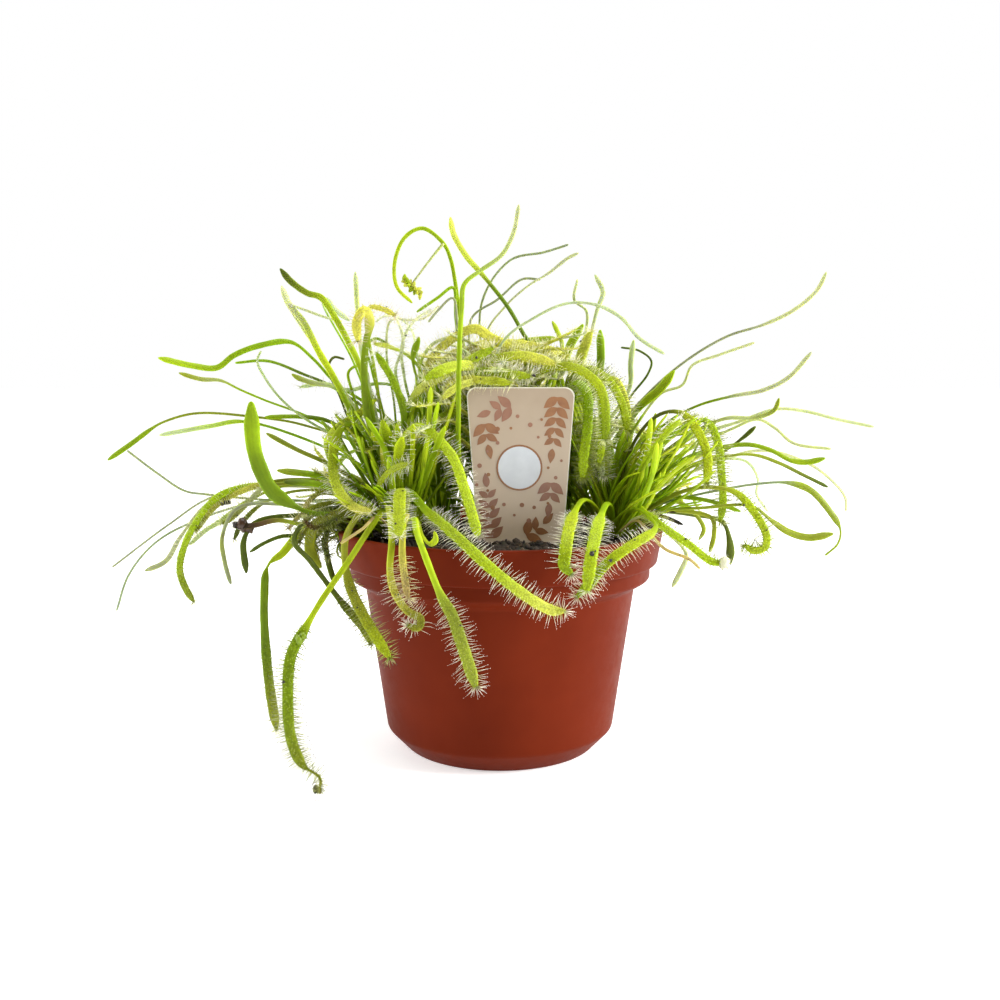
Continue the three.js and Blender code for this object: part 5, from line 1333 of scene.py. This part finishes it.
def add_label_print(front):
    """A generic print: sprigs of pointed leaves, a plain pale disc with a ring, and a scatter of dots."""
    raised, sunk = front - 0.03, front + 0.05
    parts = Parts()

    # Each shape stands a little further out than the one before, so no two share a plane.
    def stamp(outline, slot):
        number = len(parts.points)
        parts.add(*plate(outline, raised - 0.001 * number, sunk - 0.0002 * number), slot=slot)

    def sprig(x, z, angle, pairs, bend, slot):
        for i in range(pairs):
            size = 4.6 * (1 - 0.4 * i / pairs)
            for side in (-1, 1):
                stamp(leaflet(x, z, size, size * 0.52, angle + side * 0.85), slot)
            x, z = x + 2.7 * math.cos(angle), z + 2.7 * math.sin(angle)
            angle += bend
        stamp(leaflet(x, z, 4, 1.9, angle), slot)

    sprig(-7.9, 59.8, 1.6, 5, 0.02, 1)
    sprig(9.6, 97, -1.62, 5, -0.02, 0)
    sprig(-2.5, 94.4, 3.3, 2, 0.1, 1)
    sprig(1.5, 60.6, 0.5, 2, 0.16, 0)
    sprig(8, 74.5, -1.6, 2, -0.05, 1)
    sprig(-9.4, 90, -1.45, 2, 0.05, 0)
    stamp(disc(-0.3, 78.5, 6.1), 0)
    stamp(disc(-0.3, 78.5, 5.6), 2)
    for i in range(26):
        turn = i * math.radians(GOLDEN_ANGLE)
        reach = 7.6 + 0.17 * i
        x, z = -0.3 + reach * math.cos(turn), 78.5 + 1.25 * reach * math.sin(turn)
        stamp(disc(x, z, 0.38 + 0.12 * (i % 3), 14), i % 2)
    inks = [
        ink_material("label_brown", (0.24, 0.095, 0.034), (0.32, 0.14, 0.05), 2),
        ink_material("label_rose", (0.27, 0.12, 0.07), (0.33, 0.155, 0.09), 2),
        ink_material("label_pale", (0.62, 0.65, 0.68), (0.70, 0.73, 0.76), 5),
    ]
    print_piece = parts.piece("label_print", inks, smooth=False)
    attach(print_piece, "root")


# ---------- leaves ----------


def leaf_colours(leaf, draw):
    """The tint along a leaf, from petiole to blade to tip, with painted light and shade near the crown and its own
    slight shift.
    """
    petiole, blade, tip = (np.array(TONES[tone]) for tone in leaf["tones"])
    i = np.arange(leaf["count"] + 1)
    to_blade = ramp(i * GRAIN, leaf["tone_start"] - 5, leaf["tone_start"] + 4)[:, None]
    share = i / leaf["count"]
    to_tip = ramp(share, 0.72, 1.0)[:, None]
    colour = petiole + (blade - petiole) * to_blade
    colour = colour + (tip - colour) * to_tip
    # Within 14 mm of the crown each leaf turns half way to one mid green: painted light that evens out the deep shade
    # among the leaf bases.
    base = ramp(i * GRAIN, 14, 0)[:, None]
    colour = colour + (np.array(TONES["green"]) * 0.8 - colour) * 0.5 * base
    patches = 1 + 0.13 * waves(i * GRAIN, i * 0.0, 0.25, draw.integers(1 << 30))[:, None]
    shift = draw.uniform(0.86, 1.14) * (1 + draw.uniform(-0.06, 0.06, 3))
    return np.clip(colour * patches * shift, 0.004, 0.95)


def sample(values, places):
    """Values along a leaf at fractional places."""
    low = np.minimum(places.astype(int), len(values) - 2)
    part = (places - low).reshape(-1, *[1] * (values.ndim - 1))
    return values[low] * (1 - part) + values[low + 1] * part


def leaf_mesh(leaf, draw):
    """A closed leaf: a rounded underside, a flat, slightly hollow upper face, waved edges and a round tip."""
    fine = leaf.get("fine", False)
    drawn = leaf["route"] is not None
    sides = 6 if fine else 12 if drawn and leaf["hairs"] else 8
    count = leaf["count"]
    blade_from = leaf["blade_start"]
    step = 1 if drawn else 2
    last = (2, 1, 0) if fine else (2, 1.3, 0.8, 0.4, 0.15, 0)
    rings = np.concatenate([np.arange(0, blade_from, 2), np.arange(int(blade_from), count - 2, step)])
    rings = np.unique(np.concatenate([rings, [count - back for back in last]]))
    width = sample(leaf["widths"], rings)
    end = np.clip((count - rings) * GRAIN / (TIP["round"] * leaf["widths"][-3]), 0, 1)
    point = np.sqrt(np.maximum(1 - (1 - end) ** 2, 0.01))
    ripple = 1 + 0.07 * waves(rings * GRAIN, rings * 0.0, 0.8, draw.integers(1 << 30))
    half = width * point / 2 * ripple
    on_blade = ramp(rings, blade_from - 4, blade_from + 6)
    thick = np.clip(width * (0.62 - 0.22 * on_blade), 0.5, 1.1) / 2 * np.maximum(point, 0.2)
    theta = np.linspace(0, 2 * math.pi, sides, endpoint=False)
    u = np.sign(np.cos(theta)) * np.abs(np.cos(theta)) ** 0.85
    v = np.sin(theta)
    hollow = 0.45 * on_blade[:, None] * np.exp(-4 * u[None] ** 2) * (v > 0.3)[None]
    lift = np.where(v[None] > 0, v[None] * (1 - hollow), v[None])
    across = sample(leaf["across"], rings)[:, None] * (u[None] * half[:, None])[..., None]
    out = sample(leaf["faces"], rings)[:, None] * (lift * thick[:, None])[..., None]
    points = (sample(leaf["line"], rings)[:, None] + across + out).reshape(-1, 3)
    tip = leaf["line"][-1] + leaf["along"][-1] * 0.04
    points, triangles = cap_tube(points, len(rings), sides, leaf["line"][0], tip)
    colour = sample(leaf_colours(leaf, draw), rings)
    tint = np.vstack([np.repeat(colour, sides, 0), colour[:1], colour[-1:]])
    rim = np.append(np.tile(np.abs(u), len(rings)), [0, 0])
    grain = np.append(np.repeat(on_blade, sides), [0, 1]) * (1 if leaf["hairs"] else 0.15)
    return points, triangles, tint, rim, grain


# Tones of a tentacle's stalk and head, and how thick it is.
HAIR_TONES = {
    "pale": {"stalk": (0.94, 0.89, 0.66), "head": (0.94, 0.79, 0.66), "width": 1},
    "rust": {"stalk": (0.92, 0.91, 0.42), "head": (0.74, 0.62, 0.28), "width": 1},
    "dusk": {"stalk": (0.30, 0.34, 0.07), "head": (0.05, 0.04, 0.02), "width": 1.5},
    "rose": {"stalk": (0.84, 0.62, 0.42), "head": (0.74, 0.42, 0.30), "width": 1},
}
TENTACLE = {"edge": 3.2, "second": 2.2, "face": (0.45, 1.1), "base": 0.075, "middle": 0.05, "head": 0.085}
YOUNG_TENTACLE = {"density": 0.38, "width": 1.4}  # fewer and thicker on the leaves that fill a crown
# Tentacles to a millimetre of blade: along each edge, inside each edge, and over the face.
CLOSENESS = {"edge": 1.6, "second": 0.9, "face": 2.6}


def tentacle_rows(leaf, draw, density):
    """Bases, directions, lengths and leaf places of the tentacles on one blade."""
    begin, count = leaf["blade_start"], leaf["count"]
    length = (count - begin) * GRAIN
    rows = []

    def row(per_mm, offset, lean, size, jitter):
        number = int(per_mm * length * density)
        at = begin + (count - begin) * (np.arange(number) + draw.uniform(0, 1, number)) / max(1, number)
        rows.append((at, offset(number), lean, size, jitter))

    for side in (-1, 1):
        row(CLOSENESS["edge"], lambda n, s=side: np.full(n, s * 0.96), math.radians(82), TENTACLE["edge"], 0.12)
        row(CLOSENESS["second"], lambda n, s=side: np.full(n, s * 0.72), math.radians(46), TENTACLE["second"], 0.22)
    row(CLOSENESS["face"], lambda n: draw.uniform(-0.75, 0.75, n), math.radians(40), None, 0.2)
    bases, directions, lengths, places, on_face = [], [], [], [], []
    for at, offset, lean, size, jitter in rows:
        on_face.append(np.full(len(at), size is None))
        whole = np.minimum(at.astype(int), count - 1)
        centre = sample(leaf["line"], at)
        across, face, along = leaf["across"][whole], leaf["faces"][whole], leaf["along"][whole]
        half = leaf["widths"][whole][:, None] / 2
        angle = (np.abs(offset) / 0.96 * lean)[:, None] if size is None else np.full((len(at), 1), lean)
        angle = angle + draw.normal(0, jitter, (len(at), 1))
        side = np.sign(offset)[:, None]
        direction = across * side * np.sin(angle) + face * np.cos(angle)
        direction = unit(direction + along * draw.normal(0.08, 0.13, (len(at), 1)))
        bases.append(centre + across * offset[:, None] * half * 0.93 + face * (1 - np.abs(offset[:, None])) * 0.25)
        directions.append(direction)
        low, high = TENTACLE["face"]
        reach = low + (high - low) * np.abs(offset) if size is None else np.full(len(at), size)
        near_end = np.minimum(1, 0.45 + (at - begin) * GRAIN / 9)
        lengths.append(reach * near_end * draw.uniform(0.55, 1.12, len(at)))
        places.append(at / count)
    tip_count = int(16 * density)
    fan = draw.uniform(-1.45, 1.45, (tip_count, 1))
    tip_lean = draw.uniform(0.1, 0.9, (tip_count, 1))
    direction = leaf["along"][-1] * np.cos(fan) + leaf["across"][-1] * np.sin(fan) + leaf["faces"][-1] * tip_lean
    bases.append(np.tile(leaf["line"][-1] - leaf["along"][-1] * 0.6, (tip_count, 1)))
    directions.append(unit(direction))
    lengths.append(draw.uniform(2.2, 3.3, tip_count))
    places.append(np.ones(tip_count))
    on_face.append(np.full(tip_count, False))
    return np.vstack(bases), np.vstack(directions), *(np.concatenate(x) for x in (lengths, places, on_face))


def free_tips(tips):
    """Which tips lie outside the pot's wall and the label."""
    radius = np.hypot(tips[:, 0], tips[:, 1])
    share = np.clip((tips[:, 2] - POT["body_bottom"]) / (POT["body_top"] - POT["body_bottom"]), 0, 1)
    wall = POT["body_bottom_radius"] + (POT["body_top_radius"] - POT["body_bottom_radius"]) * share
    wall = np.where(tips[:, 2] > POT["body_top"], POT["rim_radius"], wall)
    in_pot = (tips[:, 2] < POT["height"] + 0.2) & (radius < wall + 0.2) & (radius > INNER_RIM - 3)
    in_body = (tips[:, 2] < POT["body_top"]) & (radius < wall + 0.2)
    aside = np.abs(tips[:, 0] - LABEL["centre"][0]) > LABEL["top_width"] / 2
    in_label = ~aside & (np.abs(tips[:, 1] - LABEL["centre"][1]) < 0.5) & (tips[:, 2] < LABEL["top"])
    low, high = (np.array(corner) / MM for corner in CAD_BOX)
    in_box = np.all((tips > low + (-2, -2, 0.3)) & (tips < high + 2), axis=1)
    return ~(in_pot | in_body | in_label) & in_box


def tentacle_faces(rings):
    """Triangles of one tentacle: a three-sided stalk of so many rings and a point, and a head of six faces."""
    point = 3 * rings
    low, head, high = point + 1, point + 2, point + 5
    faces = [(0, 2, 1)]
    for k, after in ((0, 1), (1, 2), (2, 0)):
        if rings == 2:
            faces += [(k, after, 3 + after), (k, 3 + after, 3 + k)]
        faces += [(point - 3 + k, point - 3 + after, point)]
        faces += [(low, head + after, head + k), (high, head + k, head + after)]
    return np.array(faces)


def tentacle_mesh(bases, directions, lengths, stalk, head, root, draw, rings, width):
    """Many tentacles at once: stalks that bend a little where they have two rings, with a gland head each."""
    count = len(bases)
    bend = draw.normal(0, 0.07, (count, 3)) + (0, 0, -0.04)
    middle = bases + (directions + bend * 0.35) * (lengths * 0.55)[:, None]
    top = bases + unit(directions + bend) * lengths[:, None]
    aim = unit(top - middle)
    helper = np.where(np.abs(aim[:, 2:]) > 0.9, [[1.0, 0, 0]], [[0, 0, 1.0]])
    a = unit(np.cross(helper, aim))
    b = np.cross(aim, a)
    corners = [a * math.cos(t) + b * math.sin(t) for t in (0, 2 * math.pi / 3, 4 * math.pi / 3)]
    size = (TENTACLE["head"] * width * draw.uniform(0.75, 1.25, count))[:, None]
    layers = [bases + c * TENTACLE["base"] * width for c in corners]
    if rings == 2:
        layers += [middle + c * TENTACLE["middle"] * width for c in corners]
    layers += [top, top - aim * size * 1.2]
    layers += [top + c * size for c in corners]
    layers += [top + aim * size * 1.2]
    points = np.stack(layers, 1)
    faces = tentacle_faces(rings)
    triangles = (faces[None] + np.arange(count)[:, None, None] * points.shape[1]).reshape(-1, 3)
    tint = np.empty((count, points.shape[1], 3))
    tint[:, :3] = root[:, None]
    tint[:, 3 : 3 * rings + 1] = stalk[:, None] * draw.uniform(0.85, 1.1, (count, 1, 1))
    tint[:, 3 * rings + 1 :] = head[:, None] * draw.uniform(0.75, 1.15, (count, 1, 1))
    return points.reshape(-1, 3), triangles, np.clip(tint.reshape(-1, 3), 0, 1)


def add_gnats(leaf, hairs, draw):
    """A few caught gnats: small dark lumps on the blade and its edges."""
    ball_points, ball_triangles = ball(4, 6)
    for _ in range(draw.integers(0, 4)):
        at = draw.uniform(leaf["blade_start"] + 3, max(leaf["blade_start"] + 4, leaf["count"] - 2), 1)
        side = draw.uniform(-1.2, 1.2)
        across, face, along = (sample(leaf[key], at)[0] for key in ("across", "faces", "along"))
        centre = sample(leaf["line"], at)[0] + across * side * sample(leaf["widths"], at)[0] / 2 + face * 0.45
        size = draw.uniform(0.12, 0.28)
        body = ball_points * size * draw.uniform(0.6, 1.5, 3) * (1 + 0.2 * draw.standard_normal((len(ball_points), 1)))
        turn = draw.uniform(0, 2 * math.pi)
        body = body[:, :1] * (along * math.cos(turn) + across * math.sin(turn)) + body[:, 1:2] * face + body[:, 2:] * (
            across * math.cos(turn) - along * math.sin(turn))
        tone = np.array((0.03, 0.025, 0.015)) * draw.uniform(0.5, 1.6)
        hairs.add(body + centre, ball_triangles, tint=np.tile(tone, (len(body), 1)))


def add_rosette(crown, leaves, material, hair_material):
    blades, hairs = Parts(), Parts()
    for number, leaf in enumerate(leaves):
        draw = np.random.default_rng(crown["seed"] * 1000 + number)
        points, triangles, tint, rim, blade = leaf_mesh(leaf, draw)
        blades.add(points, triangles, tint=tint, rim=rim, blade=blade)
        if not leaf["hairs"]:
            continue
        density = leaf.get("density", 1.0 if leaf["route"] else YOUNG_TENTACLE["density"])
        bases, directions, lengths, places, on_face = tentacle_rows(leaf, draw, density)
        free = free_tips(bases + directions * lengths[:, None])
        rows = (bases, directions, lengths, places, on_face)
        bases, directions, lengths, places, on_face = (row[free] for row in rows)
        tones = HAIR_TONES[leaf["hairs"]]
        width = tones["width"] if leaf["route"] else YOUNG_TENTACLE["width"]
        root = leaf_colours(leaf, draw)[(places * leaf["count"]).astype(int)]
        fresh = root * 1.3 + (0.10, 0.10, 0.05)
        stalk, head = (np.where(on_face[:, None], fresh, tones[part]) for part in ("stalk", "head"))
        columns = (bases, directions, lengths, stalk, head, root)
        for rings, chosen in ((2, ~on_face), (1, on_face)):
            picked = [column[chosen] for column in columns]
            points, triangles, tint = tentacle_mesh(*picked, draw, rings, width)
            hairs.add(points, triangles, tint=tint)
        if leaf["route"]:
            add_gnats(leaf, hairs, draw)
    piece = blades.piece(f"leaves_{crown['name']}", [material])
    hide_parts(f"rosette_{crown['name']}")
    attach(piece, "root")
    if hairs.count:
        fringe = hairs.piece(f"tentacles_{crown['name']}", [hair_material])
        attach(fringe, "root")


def add_clinging(leaves, material):
    """Dark specks, a brown knot and a pale knob, each sunk a little into the leaf nearest to its spot."""
    draw = np.random.default_rng(83)
    ball_points, ball_triangles = ball(6, 9)
    lines = np.vstack([leaf["line"] for leaf in leaves])
    parts = Parts()
    for spot, radius, tone in CLINGING:
        lump = ball_points * radius * draw.uniform(0.7, 1.2, 3)
        lump = lump * (1 + 0.16 * draw.standard_normal((len(lump), 1)))
        tint = np.tile(np.array(TONES[tone]) * draw.uniform(0.8, 1.2), (len(lump), 1))
        nearest = lines[np.argmin(np.linalg.norm(lines - place(spot), axis=1))]
        offset = place(spot) - nearest
        seat = nearest + unit(offset) * min(np.linalg.norm(offset), 0.3 + 0.6 * radius)
        parts.add(lump + seat, ball_triangles, tint=tint)
    lumps = parts.piece("clinging_specks", [material])
    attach(lumps, "root")


def scape_leaves(crown):
    """The flower stalk's loop and the branch that carries the buds, as plain stalks."""
    loop = drawn_leaf(stalk("green green lime", SCAPE["width"], *SCAPE["loop"]), crown)
    points = [place(p) for p in SCAPE["branch"]]
    branch = stalk("pale", SCAPE["branch_width"])
    branch = prepare({**branch, "root": points[0], "points": points[1:], "face": FRONT_FACE}, crown)
    branch["route"] = SCAPE["branch"]
    return [loop, branch]


def add_buds():
    """The bud cluster: small pointed buds that fan out all round along a short slanting axis."""
    draw = np.random.default_rng(5)
    ball_points, ball_triangles = ball(8, 9)
    start, end = place(SCAPE["buds_from"]), place(SCAPE["buds_to"])
    axis = unit(end - start)
    side = unit(np.cross(axis, (0, 1.0, 0)))
    parts = Parts()
    for i in range(SCAPE["buds"]):
        turn = i * math.radians(GOLDEN_ANGLE)
        share = (i + 0.5) / SCAPE["buds"]
        outward = side * math.cos(turn) + np.cross(axis, side) * math.sin(turn)
        aim = unit(outward + axis * (1.6 * (share - 0.5)))
        length = draw.uniform(1.5, 2.3)
        width = draw.uniform(0.5, 0.75)
        taper = 1 - 0.35 * ball_points[:, 2:]
        a = unit(np.cross(aim, axis + (0.1, 0.2, 0.3)))
        b = np.cross(aim, a)
        shape = (ball_points[:, :1] * a + ball_points[:, 1:2] * b) * width * taper
        shape = shape + (ball_points[:, 2:] + 0.7) * aim * length / 2
        centre = start + (end - start) * share
        tint = np.tile(np.array(TONES["yellow" if i % 3 else "lime"]) * draw.uniform(0.8, 1.1), (len(shape), 1))
        parts.add(shape + centre, ball_triangles, tint=tint, rim=np.zeros(len(shape)), blade=np.zeros(len(shape)))
    return parts


# ---------- stage and light ----------

# The white surround's strength against how far its direction points to the back.
WORLD_LIGHT = {"From Min": -0.5, "From Max": 0.5, "To Min": 0.17, "To Max": 1.0}


def add_stage():
    n = Nodes("studio_floor")
    n.set(Roughness=0.9)
    n.shader.inputs["Base Color"].default_value = (0.88, 0.88, 0.88, 1)
    n.shader.inputs["Emission Color"].default_value = (1, 1, 1, 1)
    n.set(Emission_Strength=0.5)
    size = 6000
    points = [[-size, -size, 0], [size, -size, 0], [size, size, 0], [-size, size, 0]]
    floor = add_mesh("floor", points, [[0, 1, 2], [0, 2, 3]], [n.material], smooth=False)
    world = bpy.data.worlds.new("studio")
    world.use_nodes = True
    tree = world.node_tree
    background = tree.nodes["Background"]
    background.inputs["Color"].default_value = (1, 1, 1, 1)
    heading = tree.nodes.new("ShaderNodeTexCoord").outputs["Generated"]
    split = tree.nodes.new("ShaderNodeSeparateXYZ")
    tree.links.new(heading, split.inputs[0])
    fade = tree.nodes.new("ShaderNodeMapRange")
    for key, number in WORLD_LIGHT.items():
        fade.inputs[key].default_value = number
    tree.links.new(split.outputs["Y"], fade.inputs["Value"])
    tree.links.new(fade.outputs["Result"], background.inputs["Strength"])
    bpy.context.scene.world = world
    bpy.context.scene.view_settings.view_transform = "Standard"


def add_light(name, location, target, size, power):
    data = bpy.data.lights.new(name, "AREA")
    data.shape = "SQUARE"
    data.size = size
    data.energy = power
    light = bpy.data.objects.new(name, data)
    light.location = location
    direction = np.array(target) - np.array(location)
    yaw = math.atan2(direction[1], direction[0])
    pitch = math.atan2(direction[2], math.hypot(direction[0], direction[1]))
    light.rotation_euler = (math.pi / 2 + pitch, 0, yaw - math.pi / 2)
    bpy.context.scene.collection.objects.link(light)


def add_lights():
    target = (0, 0, 0.07)
    add_light("key", (0.95, -0.2, 0.4), target, 0.4, 16)
    add_light("fill", (-0.95, -0.1, 0.4), target, 0.5, 6)
    add_light("top", (0.1, -0.1, 1.1), target, 0.6, 7)


# ---------- assembly ----------


def build():
    add_stage()
    add_lights()
    add_pot()
    add_peat(peat_material())
    add_label()
    leaves = grow_leaves() + grow_fill()
    material, hair_material = leaf_material(), tentacle_material()
    for crown in CROWNS:
        own = [leaf for leaf in leaves if leaf["crown"] == crown["name"]]
        if crown["name"] == "middle":
            own += scape_leaves(crown)
            buds = add_buds().piece("flower_buds", [material])
            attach(buds, "root")
        add_rosette(crown, own, material, hair_material)
    add_clinging(leaves, hair_material)


build()
